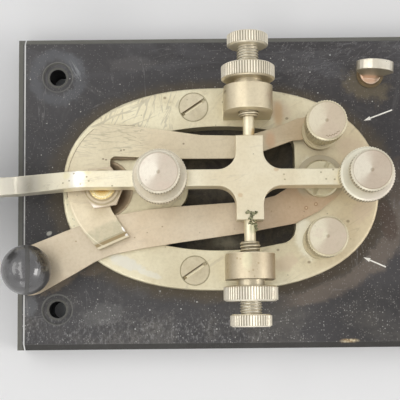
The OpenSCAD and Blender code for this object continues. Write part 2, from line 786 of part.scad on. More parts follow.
// Cross-shaped lever with its bosses and bores
module lever() {
    block_x = arm_w / 2 + cross_r;
    block_y = bar_half + cross_r;
    color("#d8d0b8") translate([0, lever_y, 0]) difference() {
        union() {
            intersection() {
                translate([0, 10, 0]) rotate([90, 0, 0]) linear_extrude(20) polygon(bar_side);
                linear_extrude(lever_top + 5) polygon(bar_plan);
            }
            translate([axle_x - arm_w / 2, -arm_l / 2, lever_bottom]) cube([arm_w, arm_l, lever_h]);
            difference() {
                translate([axle_x - block_x, -block_y, lever_bottom])
                    cube([2 * block_x, 2 * block_y, lever_h]);
                for (sx = [-1, 1], sy = [-1, 1])
                    translate([axle_x + sx * block_x, sy * block_y, 0])
                        bar(cross_r, lever_bottom - 1, lever_top + 1);
            }
            translate([spring_x, 0, 0]) bar(boss_d / 2, lever_bottom, lever_top);
            translate([stop_x, 0, 0]) bar(boss_d / 2, lever_bottom, lever_top);
            translate([knob_x, 0, 0]) bar(knob_seat_d / 2, knob_seat_z - lever_front_h, knob_seat_z);
        }
        translate([spring_x, 0, 0]) bar(thread_bore_r, lever_bottom - 1, lever_top + 1);
        translate([stop_x, 0, 0]) bar(thread_bore_r, lever_bottom - 1, lever_top + 1);
        cross_bar(axle_d / 2 + fixed_gap, -arm_l, arm_l);
        translate([contact_x, 0, 0]) bar(1.2 + fixed_gap, lever_bottom - 1, lever_bottom + 3);
        translate([knob_x, 0, 0]) {
            bar(knob_screw_d / 2 + fixed_gap, 0, lever_top);
            translate([0, 0, knob_seat_z - lever_front_h - 0.01])
                cylinder(r1 = knob_screw_d / 2 + 1.6, r2 = knob_screw_d / 2 + 0.05, h = 1.6);
        }
    }
}

// Axle through the cross arms, with a cone at each end
module axle() {
    r = axle_d / 2;
    color("#cfc7b0") translate([0, lever_y, 0]) {
        cross_bar(r, -axle_l / 2, axle_l / 2);
        for (side = [-1, 1]) translate([axle_x, side * axle_l / 2, axle_z])
            rotate([-90 * side, 0, 0]) cylinder(r1 = r, r2 = 0.3, h = axle_cone_l);
    }
}

// Contact rivet under the lever
module upper_contact() {
    color("#c9c6bd") translate([contact_x, lever_y, 0]) {
        bar(upper_contact_d / 2, upper_contact_z, lever_bottom);
        bar(1.2, lever_bottom, lever_bottom + 2.8);
    }
}

// Turned key knob, blind on top
module knob() {
    rim = knob_d / 2;
    foot = knob_foot_d / 2;
    waist = knob_waist_d / 2;
    edge = knob_h * 0.16;
    color("#1c1c1e") translate([knob_x, lever_y, knob_seat_z]) difference() {
        rotate_extrude($fn = 64)
            polygon(concat([[0, 0], [foot, 0], [foot, 1.2]],
                arc([foot + 0.5, 1.2 + (foot - waist) + 0.5], foot - waist + 0.5, 252, 180, 5),
                arc([rim - edge, knob_h * 0.36], rim - edge - waist, 180, 97, 8),
                arc([rim - edge / 2, knob_h * 0.78], edge / 2, -70, 84, 6),
                [[rim * 0.6, knob_h * 0.985], [0, knob_h]]));
        bar(knob_screw_d / 2 + fixed_gap, -1, knob_h * 0.6);
    }
}

// Flat-head screw from below into the knob
module knob_screw() {
    low = knob_seat_z - lever_front_h;
    color("#b9ae94") translate([knob_x, lever_y, 0]) difference() {
        union() {
            translate([0, 0, low])
                cylinder(r1 = knob_screw_d / 2 + 1.55, r2 = knob_screw_d / 2, h = 1.6);
            bar(knob_screw_d / 2, low + 1.6, knob_seat_z + knob_h * 0.55);
        }
        translate([-5, -slot_w / 2, low - 1]) cube([10, slot_w, 1.7]);
    }
}

// Knurled head, standing on z = 0
module screw_head() {
    knurled_rim(head_d, head_t);
}

// Screw on the lever that loads the spring
module spring_screw() {
    color("#d6cfba") translate([spring_x, lever_y, 0]) {
        bar(spring_pin_r, spring_head_z - spring_pin_l, spring_head_z);
        bar(screw_d / 2, spring_head_z, screw_head_z);
        translate([0, 0, screw_head_z]) screw_head();
    }
}

// Screw on the lever that stops it on the frame
module stop_screw() {
    color("#d6cfba") translate([stop_x, lever_y, 0]) {
        bar(stop_tip_r, stop_tip_z, stop_tip_z + stop_tip_l);
        bar(screw_d / 2, stop_tip_z + stop_tip_l, screw_head_z);
        translate([0, 0, screw_head_z]) screw_head();
    }
}

// Knurled lock nut with its bore, standing on z = 0
module locknut() {
    difference() {
        knurled_rim(locknut_d, locknut_t);
        bar(thread_bore_r, -1, locknut_t + 1);
    }
}

module spring_locknut() {
    color("#d6cfba") translate([spring_x, lever_y, lever_top + face_gap]) locknut();
}

module stop_locknut() {
    color("#d6cfba") translate([stop_x, lever_y, lever_top + face_gap]) locknut();
}

// Pivot screw of one side, from its cupped inner end to its head
module pivot_screw(side) {
    end = lug_in - pivot_screw_in;
    shoulder = end + pivot_screw_in + 1.2;
    head = lug_out + pivot_head_out;
    color("#d6cfba") translate([axle_x, lever_y, axle_z]) rotate([-90 * side, 0, 0]) difference() {
        union() {
            bar(pivot_tip_d / 2, end, shoulder);
            bar(screw_d / 2, shoulder, head);
            translate([0, 0, head]) screw_head();
        }
        bar(axle_d / 2 + cup_gap, end - 1, axle_l / 2 + cup_gap);
        translate([0, 0, axle_l / 2 + cup_gap])
            cylinder(r1 = axle_d / 2 + cup_gap, r2 = 0.3 + cup_gap, h = axle_cone_l + cup_gap);
    }
}

module pivot_screw_left() { pivot_screw(1); }
module pivot_screw_right() { pivot_screw(-1); }

// Lock nut of a pivot screw, with its hub against the lug
module pivot_locknut(side) {
    color("#d6cfba") translate([axle_x, 0, axle_z]) rotate([-90 * side, 0, 0])
        translate([0, 0, lug_out + face_gap]) difference() {
            union() {
                bar(hub_d / 2, 0, hub_l);
                translate([0, 0, hub_l]) knurled_rim(locknut_d, locknut_t);
            }
            bar(thread_bore_r, -1, hub_l + locknut_t + 1);
        }
}

module pivot_locknut_left() { pivot_locknut(1); }
module pivot_locknut_right() { pivot_locknut(-1); }

// Washer that clamps a wire on the collar at height z
module clamp_washer(z) {
    difference() {
        bar(post_neck_d / 2 + 0.2, z, z + clamp_washer_t);
        bar(post_d / 2 + run_gap, z - 1, z + clamp_washer_t + 1);
    }
}

clamp_z_a = post_base_a + post_collar_t;
clamp_z_b = post_base_b + post_collar_t;

module clamp_washer_a() {
    color("#bdb49c") translate([post_x, post_y, 0]) clamp_washer(clamp_z_a);
}

module clamp_washer_b() {
    color("#bdb49c") translate([post_x, -post_y, 0]) clamp_washer(clamp_z_b);
}

// Binding nut: a plain neck under a knurled head, blind on top
module binding_nut(z) {
    translate([0, 0, z + clamp_washer_t + face_gap]) difference() {
        union() {
            bar(post_neck_d / 2, 0, post_neck_t);
            translate([0, 0, post_neck_t]) knurled_rim(post_head_d, post_head_t);
        }
        bar(post_d / 2 + run_gap, -1, post_neck_t + 2.2);
    }
}

module binding_nut_a() {
    color("#cbbf9f") translate([post_x, post_y, 0]) binding_nut(clamp_z_a);
}

module binding_nut_b() {
    color("#cbbf9f") translate([post_x, -post_y, 0]) binding_nut(clamp_z_b);
}

// Outline of the closer arm between its eye and its round end
closer_outline = concat(
    [on_circle([closer_x, closer_y], closer_eye_r, 130), [7.4, -0.4], [4.4, -2.2], [0, -3.3],
     [-5.5, -3.8], [-18.6, -4.6], [-26.5, -5.3], [-34.9, -6.6], [-44.7, -9.5]],
    [on_circle([ball_x, ball_y], closer_end_r, 117), [ball_x, ball_y],
     on_circle([ball_x, ball_y], closer_end_r, 299)],
    [[-45, -21], [-40, -18.1], [-36, -16.4], [-29, -15], [-19, -13.5], [-3.4, -11.4],
     [9.2, -9.1], [15.4, -6], on_circle([closer_x, closer_y], closer_eye_r, -42),
     [closer_x, closer_y]]);

// Sheet-metal closer arm
module closer_arm() {
    color("#cdbb9f") difference() {
        union() {
            translate([0, 0, closer_z]) linear_extrude(closer_t) polygon(closer_outline);
            translate([closer_x, closer_y, 0]) bar(closer_eye_r, closer_z, closer_top);
            translate([ball_x, ball_y, 0]) bar(closer_end_r, closer_z, closer_top);
        }
        translate([closer_x, closer_y, 0]) bar(closer_shoulder_r + run_gap, 0, frame_top + 10);
        translate([ball_x, ball_y, 0]) bar(1.5 + fixed_gap, 0, frame_top + 10);
    }
}

// Black ball that the closer is moved by, flat underneath
module closer_ball() {
    r = ball_d / 2;
    a0 = -asin(ball_flat / r);
    color("#17171b") translate([ball_x, ball_y, closer_top + ball_flat]) difference() {
        rotate_extrude($fn = 64) polygon(concat([[0, -ball_flat]], arc([0, 0], r, a0, 90, 20)));
        bar(1.5 + fixed_gap, -ball_flat - 1, 1.5);
    }
}

// Screw from below into the closer ball
module closer_ball_screw() {
    color("#b9ae94") translate([ball_x, ball_y, 0]) difference() {
        union() {
            bar(1.5, closer_z, closer_top + ball_flat + 1);
            bar(2.8, closer_z - 1.8, closer_z);
        }
        translate([-4, -slot_w / 2, closer_z - 3]) cube([8, slot_w, 1.9]);
    }
}

// Thumb screw: a flat spade-shaped piece standing on a collar
spade_outline = concat(
    [[-thumb_neck_r, thumb_foot_t], [-thumb_neck_r * 1.3, thumb_foot_t + 1.6]],
    [for (i = [0:12]) let (a = 180 - 15 * i)
        [thumb_w / 2 * cos(a), thumb_wide_z + (thumb_h - thumb_wide_z) * sin(a)]],
    [[thumb_neck_r * 1.3, thumb_foot_t + 1.6], [thumb_neck_r, thumb_foot_t]]);

module thumb_screw() {
    low = base_t + insert_flange_t + face_gap;
    color("#ddd6c4") translate([thumb_x, thumb_y, 0]) {
        bar(thumb_screw_d / 2, stud_end_z + 0.6, low);
        bar(thumb_foot_r, low, low + thumb_foot_t);
        translate([0, 0, low]) rotate([90, 0, -4]) translate([0, 0, -thumb_t / 2])
            linear_extrude(thumb_t) polygon(spade_outline);
    }
}

base_plate();
key_frame();
frame_screws();
frame_nuts();
contact_strap();
strap_insulator();
contact_stud();
contact_disc();
contact_spacer();
post_stud_a();
post_stud_b();
post_insulator();
stud_nuts();
under_link();
terminal_insert();
insert_nut();
closer_pivot_screw();
closer_washer();
return_spring();
lever();
axle();
upper_contact();
knob();
knob_screw();
spring_screw();
spring_locknut();
stop_screw();
stop_locknut();
pivot_screw_left();
pivot_screw_right();
pivot_locknut_left();
pivot_locknut_right();
clamp_washer_a();
clamp_washer_b();
binding_nut_a();
binding_nut_b();
closer_arm();
closer_ball();
closer_ball_screw();
thumb_screw();
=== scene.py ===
from math import cos, pi, radians, sin

import bmesh
import bpy
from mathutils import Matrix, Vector, noise


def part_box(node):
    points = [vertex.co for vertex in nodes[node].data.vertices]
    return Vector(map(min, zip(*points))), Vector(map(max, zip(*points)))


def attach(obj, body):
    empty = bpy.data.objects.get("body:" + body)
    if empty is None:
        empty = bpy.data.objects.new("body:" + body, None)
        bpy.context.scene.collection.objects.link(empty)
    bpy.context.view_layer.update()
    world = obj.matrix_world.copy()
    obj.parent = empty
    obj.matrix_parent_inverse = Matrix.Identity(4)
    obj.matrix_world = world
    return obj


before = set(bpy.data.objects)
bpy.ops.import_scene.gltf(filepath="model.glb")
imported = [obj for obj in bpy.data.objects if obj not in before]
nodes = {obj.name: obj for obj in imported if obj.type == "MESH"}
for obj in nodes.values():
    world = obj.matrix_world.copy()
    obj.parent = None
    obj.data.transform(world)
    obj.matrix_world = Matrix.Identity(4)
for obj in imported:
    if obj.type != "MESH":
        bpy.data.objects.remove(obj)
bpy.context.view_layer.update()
MM = 0.001
UP, ACROSS = (0, 0, 1), (0, 1, 0)


# Places, heights and radii in millimetres, taken from the frame
def low(node):
    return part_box(node)[0] / MM


def high(node):
    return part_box(node)[1] / MM


def middle(node):
    return (low(node) + high(node)) / 2


def half_width(node):
    return (high(node).x - low(node).x) / 2


BASE_TOP = high("base_plate").z
FRAME_TOP = low("closer_washer").z
SPRING = middle("spring_screw")
STOP = middle("stop_screw")
POST_A = middle("binding_nut_a")
POST_B = middle("binding_nut_b")
PIVOT = middle("axle")
STUD = middle("contact_stud")
SCREW_HEAD_R = half_width("frame_screws")
SCREWS = [(middle("frame_screws").x, s * (high("frame_screws").y - SCREW_HEAD_R)) for s in (1, -1)]
HEAD_R = half_width("spring_screw")
NUT_R = half_width("spring_locknut")
POST_R = half_width("binding_nut_a")
THUMB = middle("thumb_screw")
BALL_R = half_width("closer_ball")
BALL = Vector((*middle("closer_ball").xy, high("closer_ball").z - BALL_R))

# Sizes that the frame's boxes don't give, as in part.scad: the base holes, a screw head's thickness, the
# inner faces of the lugs and the frame's oval in millimetres, and the frame screws' slots in degrees
HOLE_X, HOLE_Y = 50.1, 29.6
HEAD_T = 3.0
LUG_IN = 17.0
OVAL_X, OVAL_A, OVAL_B, OVAL_POWER = -8.9, 39.2, 25.3, 2.35
SLOT_TURN = 34

# Sizes in millimetres of what only the scene has: the shoulder in the stud's hole and two forms of thread
STUD_HOLE = 7.2
THREAD_ROOT, THREAD_CREST, THREAD_PITCH = 2.36, 2.62, 0.65
TIP_ROOT, TIP_CREST, TIP_PITCH = 2.17, 2.42, 0.8


# Camera: above the front of the key, leaning a little towards the left side
cam_data = bpy.data.cameras.new("photo_camera")
cam = bpy.data.objects.new("photo_camera", cam_data)
bpy.context.scene.collection.objects.link(cam)
FOCAL_PX, IMAGE_PX, SENSOR = 931.3, 400, 36.0
CAM_AT = (-13.93, -32.98, 243.0)
cam_data.sensor_fit = "HORIZONTAL"
cam_data.sensor_width = SENSOR
cam_data.lens = SENSOR * FOCAL_PX / IMAGE_PX
cam_data.shift_x = 0.0
cam_data.shift_y = 0.1214
cam_data.clip_start = 0.005
cam_data.clip_end = 10
cam.location = [c * MM for c in CAM_AT]
cam.rotation_euler = (radians(4.5), radians(0.113), -0.0098)
bpy.context.scene.camera = cam
bpy.context.scene.view_settings.view_transform = "Standard"


# Node helpers
class Graph:
    """A material's node tree with short calls: places are in millimetres, and x, y and z in metres."""

    def __init__(self, name):
        self.mat = bpy.data.materials.new(name)
        self.mat.use_nodes = True
        self.tree = self.mat.node_tree
        self.shader = self.tree.nodes["Principled BSDF"]
        coords = self.node("ShaderNodeTexCoord")
        self.place, self.facing = coords.outputs["Object"], coords.outputs["Normal"]
        self.x, self.y, self.z = self.axes(self.place)
        self.uneven = self.noise(450, 5, 0.68)

    def node(self, kind, **settings):
        made = self.tree.nodes.new(kind)
        for key, value in settings.items():
            setattr(made, key, value)
        return made

    def put(self, value, socket):
        if isinstance(value, bpy.types.NodeSocket):
            self.tree.links.new(value, socket)
        elif isinstance(value, tuple) and len(value) == 3 and socket.type == "RGBA":
            socket.default_value = (*value, 1)
        else:
            socket.default_value = value

    def math(self, operation, a, b=0.0):
        n = self.node("ShaderNodeMath", operation=operation)
        self.put(a, n.inputs[0])
        self.put(b, n.inputs[1])
        return n.outputs[0]

    def times(self, a, *others):
        for b in others:
            a = self.math("MULTIPLY", a, b)
        return a

    def most(self, a, *others):
        for b in others:
            a = self.math("MAXIMUM", a, b)
        return a

    def plus(self, a, b):
        return self.math("ADD", a, b)

    def minus(self, a, b):
        return self.math("SUBTRACT", a, b)

    def apart(self, a, b):
        return self.math("ABSOLUTE", self.minus(a, b))

    def length(self, dx, dy):
        return self.math("SQRT", self.plus(self.times(dx, dx), self.times(dy, dy)))

    def axes(self, vector):
        n = self.node("ShaderNodeSeparateXYZ")
        self.put(vector, n.inputs[0])
        return n.outputs

    def vector(self, operation, a, b=(0, 0, 0)):
        n = self.node("ShaderNodeVectorMath", operation=operation)
        self.put(a, n.inputs[0])
        self.put(b, n.inputs[1])
        return n.outputs["Value"] if operation in ("LENGTH", "DOT_PRODUCT") else n.outputs[0]

    def mapped(self, at=(0, 0, 0), turn=0.0, size=(1, 1, 1)):
        """Object coordinates from a point in millimetres, turned in degrees and divided by size."""
        n = self.node("ShaderNodeMapping", vector_type="TEXTURE")
        self.put(self.place, n.inputs["Vector"])
        n.inputs["Location"].default_value = Vector(at) * MM
        n.inputs["Rotation"].default_value = (0, 0, radians(turn))
        n.inputs["Scale"].default_value = size
        return n.outputs[0]

    def noise(self, scale, detail=4.0, rough=0.55, where=None, warp=0.0):
        n = self.node("ShaderNodeTexNoise")
        self.put(where or self.place, n.inputs["Vector"])
        for key, v in (("Scale", scale), ("Detail", detail), ("Roughness", rough), ("Distortion", warp)):
            n.inputs[key].default_value = v
        return n.outputs["Fac"]

    def band(self, value, start, end, to_low=0.0, to_high=1.0):
        n = self.node("ShaderNodeMapRange", interpolation_type="SMOOTHSTEP", clamp=True)
        for socket, v in zip(n.inputs[:5], (value, start, end, to_low, to_high)):
            self.put(v, socket)
        return n.outputs[0]

    def mix(self, factor, a, b, blend="MIX"):
        n = self.node("ShaderNodeMix", data_type="RGBA", blend_type=blend)
        self.put(factor, n.inputs[0])
        self.put(a, n.inputs[6])
        self.put(b, n.inputs[7])
        return n.outputs[2]

    def near(self, value, at, start, end):
        """1 where a value is within end of at, falling to 0 at start away from it."""
        return self.band(self.apart(value, at), start, end)

    def field(self, x0, x1, y0, y1):
        """1 past x1 and y1, falling to 0 at x0 and y0."""
        return self.times(self.band(self.x, x0, x1), self.band(self.y, y0, y1))

    def over(self, mask, share, color, tone, blend="MIX"):
        """A colour with a tone laid over it: a share of it where the mask is 1."""
        return self.mix(self.times(mask, share), color, tone, blend)

    def specks(self, scale, size, share, seed):
        """Small round dots, one in a share of the cells of the given scale."""
        n = self.node("ShaderNodeTexVoronoi")
        self.put(self.vector("ADD", self.place, (seed, seed * 0.7, 0)), n.inputs["Vector"])
        n.inputs["Scale"].default_value = scale
        dot = self.band(n.outputs["Distance"], size, size * 0.4)
        picked = self.node("ShaderNodeSeparateColor")
        self.put(n.outputs["Color"], picked.inputs[0])
        return self.times(dot, self.math("LESS_THAN", picked.outputs[0], share))

    def hairs(self, turn, cell, stretch, share, width=0.03):
        """Thin curved scratches along one direction; cell is the distance between them in millimetres."""
        lines = self.noise(1 / cell / MM, 2, 0.5, self.mapped(turn=turn, size=(stretch, 1, 1)), 0.4)
        some = self.noise(0.35 / cell / MM, 3, 0.6, self.mapped((turn, 0, 0), turn, (2, 1, 1)))
        line = self.near(lines, 0.5, width, width * 0.4)
        return self.times(line, self.band(some, 0.62 - share, 0.70 - share))

    def patch(self, x, y, rx, ry, turn=0.0, ragged=0.8, soft=0.5):
        """Ragged oval mark on a level face, 1 in its middle; radii in millimetres."""
        where = self.mapped((x, y, 0), turn, (rx * MM, ry * MM, 1))
        far = self.vector("LENGTH", self.vector("MULTIPLY", where, (1, 1, 0)))
        far = self.plus(far, self.times(self.uneven, ragged))
        return self.band(far, 1 + ragged / 2, 1 + ragged / 2 - soft)

    def spots(self, places, r, ragged=0.5):
        """One mask for several small marks."""
        return self.most(*[self.patch(x, y, r, r * 0.8, 0, ragged, 0.6) for x, y in places])

    def bump(self, height, strength, distance, normal=None):
        n = self.node("ShaderNodeBump")
        n.inputs["Strength"].default_value = strength
        n.inputs["Distance"].default_value = distance
        self.put(height, n.inputs["Height"])
        if normal is not None:
            self.put(normal, n.inputs["Normal"])
        return n.outputs[0]

    def edge(self, radius):
        """Rounded edge normal, and a mask that is 1 on the worn edges."""
        soft = self.node("ShaderNodeBevel", samples=4)
        self.put(radius, soft.inputs["Radius"])
        flat = self.node("ShaderNodeNewGeometry").outputs["Normal"]
        turn = self.vector("DOT_PRODUCT", soft.outputs[0], flat)
        return soft.outputs[0], self.band(turn, 0.995, 0.90)

    def turned_away(self, axis, start, end):
        """1 on faces that are steep against an axis, 0 on faces square to it."""
        along = self.math("ABSOLUTE", self.vector("DOT_PRODUCT", self.facing, axis))
        return self.band(along, start, end)

    def off_axis(self, c, axis):
        """Distance from an axis through c."""
        off = self.vector("SUBTRACT", self.place, Vector(c) * MM)
        return self.vector("LENGTH", self.vector("MULTIPLY", off, tuple(1 - a for a in axis)))

    def grooves(self, c, axis, radii):
        """1 in the knurl grooves of rims of the given radii round an axis through c."""
        far = self.off_axis(c, axis)
        mask = self.most(*[self.times(self.band(far, (r - 0.05) * MM, (r - 0.12) * MM),
                                      self.band(far, (r - 0.24) * MM, (r - 0.19) * MM)) for r in radii])
        return self.times(mask, self.turned_away(axis, 0.6, 0.3))

    def from_centre(self, c):
        """Distance from a vertical line through c, and the angle round it."""
        dx = self.minus(self.x, c[0] * MM)
        dy = self.minus(self.y, c[1] * MM)
        return self.length(dx, dy), self.math("ARCTAN2", dy, dx)

    def finish(self, color, rough, normal, metallic=1.0, specular=0.5, coat=0.0):
        s = self.shader.inputs
        self.put(color, s["Base Color"])
        self.put(rough, s["Roughness"])
        self.put(normal, s["Normal"])
        s["Metallic"].default_value = metallic
        s["Specular IOR Level"].default_value = specular
        s["Coat Weight"].default_value = coat
        return self.mat


def scaled(color, k):
    return tuple(min(1.0, c * k) for c in color)


def plated(name, light, dull_and_shaded, stain, rough, edge, dirt=0.5, metallic=0.55, marks=None, knurl=None,
           thread=None, side=0.6, rising=None):
    """Aged plating: clouded tone, fine grain, small dark pits, then its own marks and painted shade on steep
    faces.
    """
    g = Graph(name)
    cloud = g.noise(80, 5, 0.6)
    fine = g.noise(1500, 3, 0.65)
    blots = g.band(g.noise(170, 6, 0.72, warp=0.6), 0.60, 0.78)
    color = g.mix(g.band(cloud, 0.36, 0.66), light, dull_and_shaded)
    color = g.over(blots, 0.55 * dirt, color, stain)
    color = g.over(g.band(fine, 0.38, 0.72), 0.13, color, stain)
    color = g.over(g.specks(700, 0.15, 0.13 * dirt, 0.3), 0.6, color, scaled(stain, 0.6))
    if marks:
        color = marks(g, color)
    # Painted shade: faces steep to the vertical are darkened by the share given as side
    color = g.over(g.turned_away(UP, 0.75, 0.2), side, color, (0.70, 0.67, 0.58), "MULTIPLY")
    soft, worn = g.edge(edge * MM)
    color = g.over(worn, 0.4, color, scaled(light, 1.08))
    if knurl:
        color = g.over(g.grooves(*knurl), 0.8, color, scaled(stain, 0.7))
    if thread:
        centre, axis, crest = thread
        far = g.off_axis(centre, axis)
        color = g.over(g.band(far, (crest - 0.06) * MM, (crest - 0.17) * MM), 0.85, color, scaled(stain, 0.6))
    tone = g.plus(g.times(cloud, 0.6), g.times(fine, 0.4))
    roughness = g.band(tone, 0.3, 0.7, rough[0], rough[1])
    height = g.plus(g.times(fine, 0.5), g.times(cloud, 0.9))
    normal = g.bump(height, 0.3, 0.00005, soft)
    if rising:
        # Shaded as if the bar rose in a curve in front of a place in millimetres
        past = g.math("MINIMUM", g.minus(g.x, rising[0] * MM), 0.0)
        normal = g.bump(g.times(past, past, rising[1] / MM), 1.0, 1.0, normal)
    return g.finish(color, roughness, normal, metallic)


def turned(g, color, centre, top, radius, light, dull_and_shaded, stain):
    """Turned end face: two sectors of painted highlight and shade, lighter towards one side, a faint ring, a
    paler rim as a painted highlight and a dark centre mark.
    """
    far, around = g.from_centre(centre)
    # Painted highlight and shade: the face lighter in sectors towards one side
    wedge = g.math("COSINE", g.plus(g.times(around, 2.0), 0.5))
    left = g.math("COSINE", g.plus(around, 3.5))
    sector = g.plus(g.times(wedge, 0.35), g.times(left, 0.65))
    fine = g.noise(1500, 3, 0.65)
    face = g.mix(g.band(sector, -0.5, 0.6), dull_and_shaded, light)
    face = g.over(g.band(g.noise(260, 4, 0.6), 0.48, 0.68), 0.30, face, (0.66, 0.52, 0.43))
    face = g.over(g.band(fine, 0.42, 0.74), 0.14, face, stain)
    ring = g.math("SINE", g.times(far, 2 * pi / (0.37 * MM)))
    face = g.over(ring, 0.06, face, stain)
    face = g.over(g.specks(800, 0.14, 0.08, 0.5), 0.5, face, stain)
    spread = g.noise(900, 2, 0.5)
    dot = g.band(g.plus(far, g.times(spread, 0.0003)), 0.00075, 0.00035)
    face = g.over(dot, 0.65, face, scaled(stain, 0.9))
    face = g.over(g.near(far, (radius - 0.36) * MM, 0.00016, 0.00006), 0.65, face, stain)
    # Painted highlight on the rim
    face = g.over(g.band(far, (radius - 0.22) * MM, (radius - 0.08) * MM), 0.6, face, scaled(light, 1.2))
    here = g.times(g.band(g.axes(g.facing)[2], 0.80, 0.95), g.band(g.z, (top - 0.4) * MM, (top - 0.2) * MM))
    return g.over(here, g.band(far, (radius + 0.1) * MM, radius * MM), color, face)


# Marks, one function for each material that has its own: the object's own marks, and painted light and shade
# where noted
def frame_marks(g, color):
    """Scratches in front, a rosy duller rear, worn patches and spots, and a painted highlight low on the
    inner faces of the lugs.
    """
    front = g.field(-0.012, -0.024, 0.004, 0.014)
    lines = g.most(g.hairs(65, 1.6, 7, 0.16), g.hairs(100, 1.9, 7, 0.12), g.hairs(20, 2.2, 8, 0.12))
    color = g.over(g.times(lines, front), 0.5, color, (0.36, 0.32, 0.24))
    color = g.over(g.hairs(35, 3.0, 6, 0.10), 0.3, color, (0.42, 0.36, 0.26))
    rear = g.band(g.plus(g.x, g.times(g.uneven, 0.012)), 0.010, 0.034)
    color = g.over(rear, 0.85, color, (0.90, 0.82, 0.76), "MULTIPLY")
    low_front = g.field(-0.012, -0.024, -0.006, -0.012)
    color = g.over(low_front, 0.8, color, (0.88, 0.87, 0.86), "MULTIPLY")
    blush = g.most(g.patch(23.5, 9.5, 4.6, 3.8, -40), g.patch(5.5, 19.5, 4.5, 3.0, -15),
                   g.patch(26.5, -4.5, 6.0, 3.0, 60, 1.2), g.patch(7.0, -18.6, 3.6, 2.6, 20, 1.2))
    color = g.over(blush, 0.5, color, (0.60, 0.47, 0.34))
    pale = g.most(g.patch(11.8, -12.6, 3.0, 6.2, 12, 0.9), g.patch(12.8, 4.4, 2.2, 3.8, 0, 1.0))
    color = g.over(pale, 0.95, color, (0.96, 0.93, 0.76))
    rosy = g.most(g.patch(5.6, 18.6, 1.8, 4.8, 0, 0.6, 0.7), g.patch(11.0, 14.6, 1.6, 2.0, 0, 1.2, 0.9))
    color = g.over(rosy, 0.8, color, (0.62, 0.44, 0.25))
    crumbs = g.times(g.band(g.x, -0.0375, -0.0395),
                     g.times(g.band(g.y, -0.0005, -0.002), g.band(g.y, -0.017, -0.015)))
    color = g.over(g.times(g.specks(1100, 0.34, 0.5, 0.81), crumbs), 0.55, color, (0.40, 0.40, 0.30))
    color = g.over(g.patch(-32.6, -18.2, 5.2, 1.7, -24, 1.6, 0.4), 0.75, color, (0.64, 0.62, 0.54))
    color = g.over(g.patch(-26.5, -21.2, 3.6, 0.9, -20, 1.6, 0.4), 0.6, color, (0.68, 0.66, 0.57))
    rim = g.most(*[g.near(g.from_centre(at)[0], SCREW_HEAD_R * MM, 0.00034, 0.00012) for at in SCREWS])
    color = g.over(rim, 0.85, color, (0.22, 0.18, 0.09))
    barrel = g.band(g.z, (FRAME_TOP + 0.3) * MM, (FRAME_TOP + 1.5) * MM)
    color = g.mix(barrel, color, (0.90, 0.85, 0.83), "MULTIPLY")
    barrel = g.times(barrel, g.band(g.y, -0.012, -0.015))
    color = g.mix(barrel, color, (0.90, 0.88, 0.87), "MULTIPLY")
    worn_side = g.times(barrel, g.band(g.x, 0.0, 0.0036))
    color = g.over(g.times(worn_side, g.uneven), 0.9, color, (0.40, 0.26, 0.16))
    color = g.over(g.times(barrel, g.band(g.noise(900, 5, 0.75), 0.48, 0.66)), 0.4, color, (0.50, 0.42, 0.28))
    pitted = g.times(barrel, g.specks(1000, 0.34, 0.4, 0.67))
    color = g.over(pitted, 0.75, color, (0.40, 0.30, 0.17))
    color = g.over(g.times(g.patch(-3.4, -18.8, 1.6, 3.0), barrel), 0.35, color, (0.66, 0.66, 0.44))
    dark = g.spots(((7.7, 17.3), (-22.6, 22.8), (5.0, -15.5), (22.4, -8.6), (-8.0, 21.6), (12.6, -18.6)),
                   0.55)
    color = g.over(dark, 0.75, color, (0.26, 0.20, 0.12))
    color = g.over(g.specks(260, 0.12, 0.10, 0.9), 0.35, color, (0.42, 0.40, 0.34))
    # Painted highlight: a pale strip low on the inner faces of the lugs
    inner = g.near(g.math("ABSOLUTE", g.y), LUG_IN * MM, 0.0002, 0.00005)
    inner = g.times(inner, g.band(g.z, (FRAME_TOP + 0.2) * MM, (FRAME_TOP + 0.8) * MM))
    return g.over(inner, 0.7, color, (0.96, 0.86, 0.64))


def lever_marks(g, color):
    """Yellow stains and dark pits on the bar, painted light on its front end, a painted shade band at the
    lower bend, a painted highlight at the upper bend and a rusty root.
    """
    # Painted light: the front end of the bar made paler, where the knob shades it
    color = g.over(g.band(g.x, -0.045, -0.050), 0.7, color, (0.97, 0.91, 0.72))
    color = g.over(g.band(g.x, -0.052, -0.0545), 0.9, color, (0.97, 0.91, 0.76))
    # Painted shade: a darker band across the lower bend
    color = g.over(g.patch(-55.4, 0.8, 1.5, 6, 0, 1.6, 1.2), 0.45, color, (0.66, 0.60, 0.44))
    # Painted highlight: a pale patch across the upper bend
    color = g.over(g.patch(-43.2, 1.2, 2.9, 5, 0, 0.8, 1.0), 0.85, color, (0.97, 0.95, 0.90))
    cross = g.band(g.from_centre(PIVOT)[0], 0.013, 0.009)
    color = g.mix(cross, color, (0.91, 0.89, 0.87), "MULTIPLY")
    yellow = g.most(g.patch(-45.6, 1.9, 1.1, 1.0), g.patch(-40.4, 2.3, 1.2, 0.5))
    color = g.over(yellow, 0.4, color, (0.82, 0.74, 0.40))
    pits = g.spots(((-45.0, 0.6), (-43.8, 2.2), (-40.7, 1.3), (-42.2, -0.4), (-40.2, 0.3), (-46.6, 0.2),
                    (-34.7, -0.9), (5.7, 1.4), (5.9, 0.2), (14.4, 1.8), (15.6, 0.2), (17.6, 0.1),
                    (17.3, 2.4)), 0.32)
    color = g.over(pits, 0.75, color, (0.30, 0.24, 0.12))
    color = g.over(g.hairs(8, 1.4, 9, 0.08), 0.28, color, (0.50, 0.44, 0.32))
    rust = g.spots(((3.9, 2.6), (-4.6, -3.4)), 0.8, 1.0)
    color = g.over(rust, 0.55, color, (0.55, 0.38, 0.20))
    dust = g.band(g.noise(300, 5, 0.7), 0.55, 0.72)
    return g.over(dust, 0.12, color, (0.60, 0.56, 0.44))


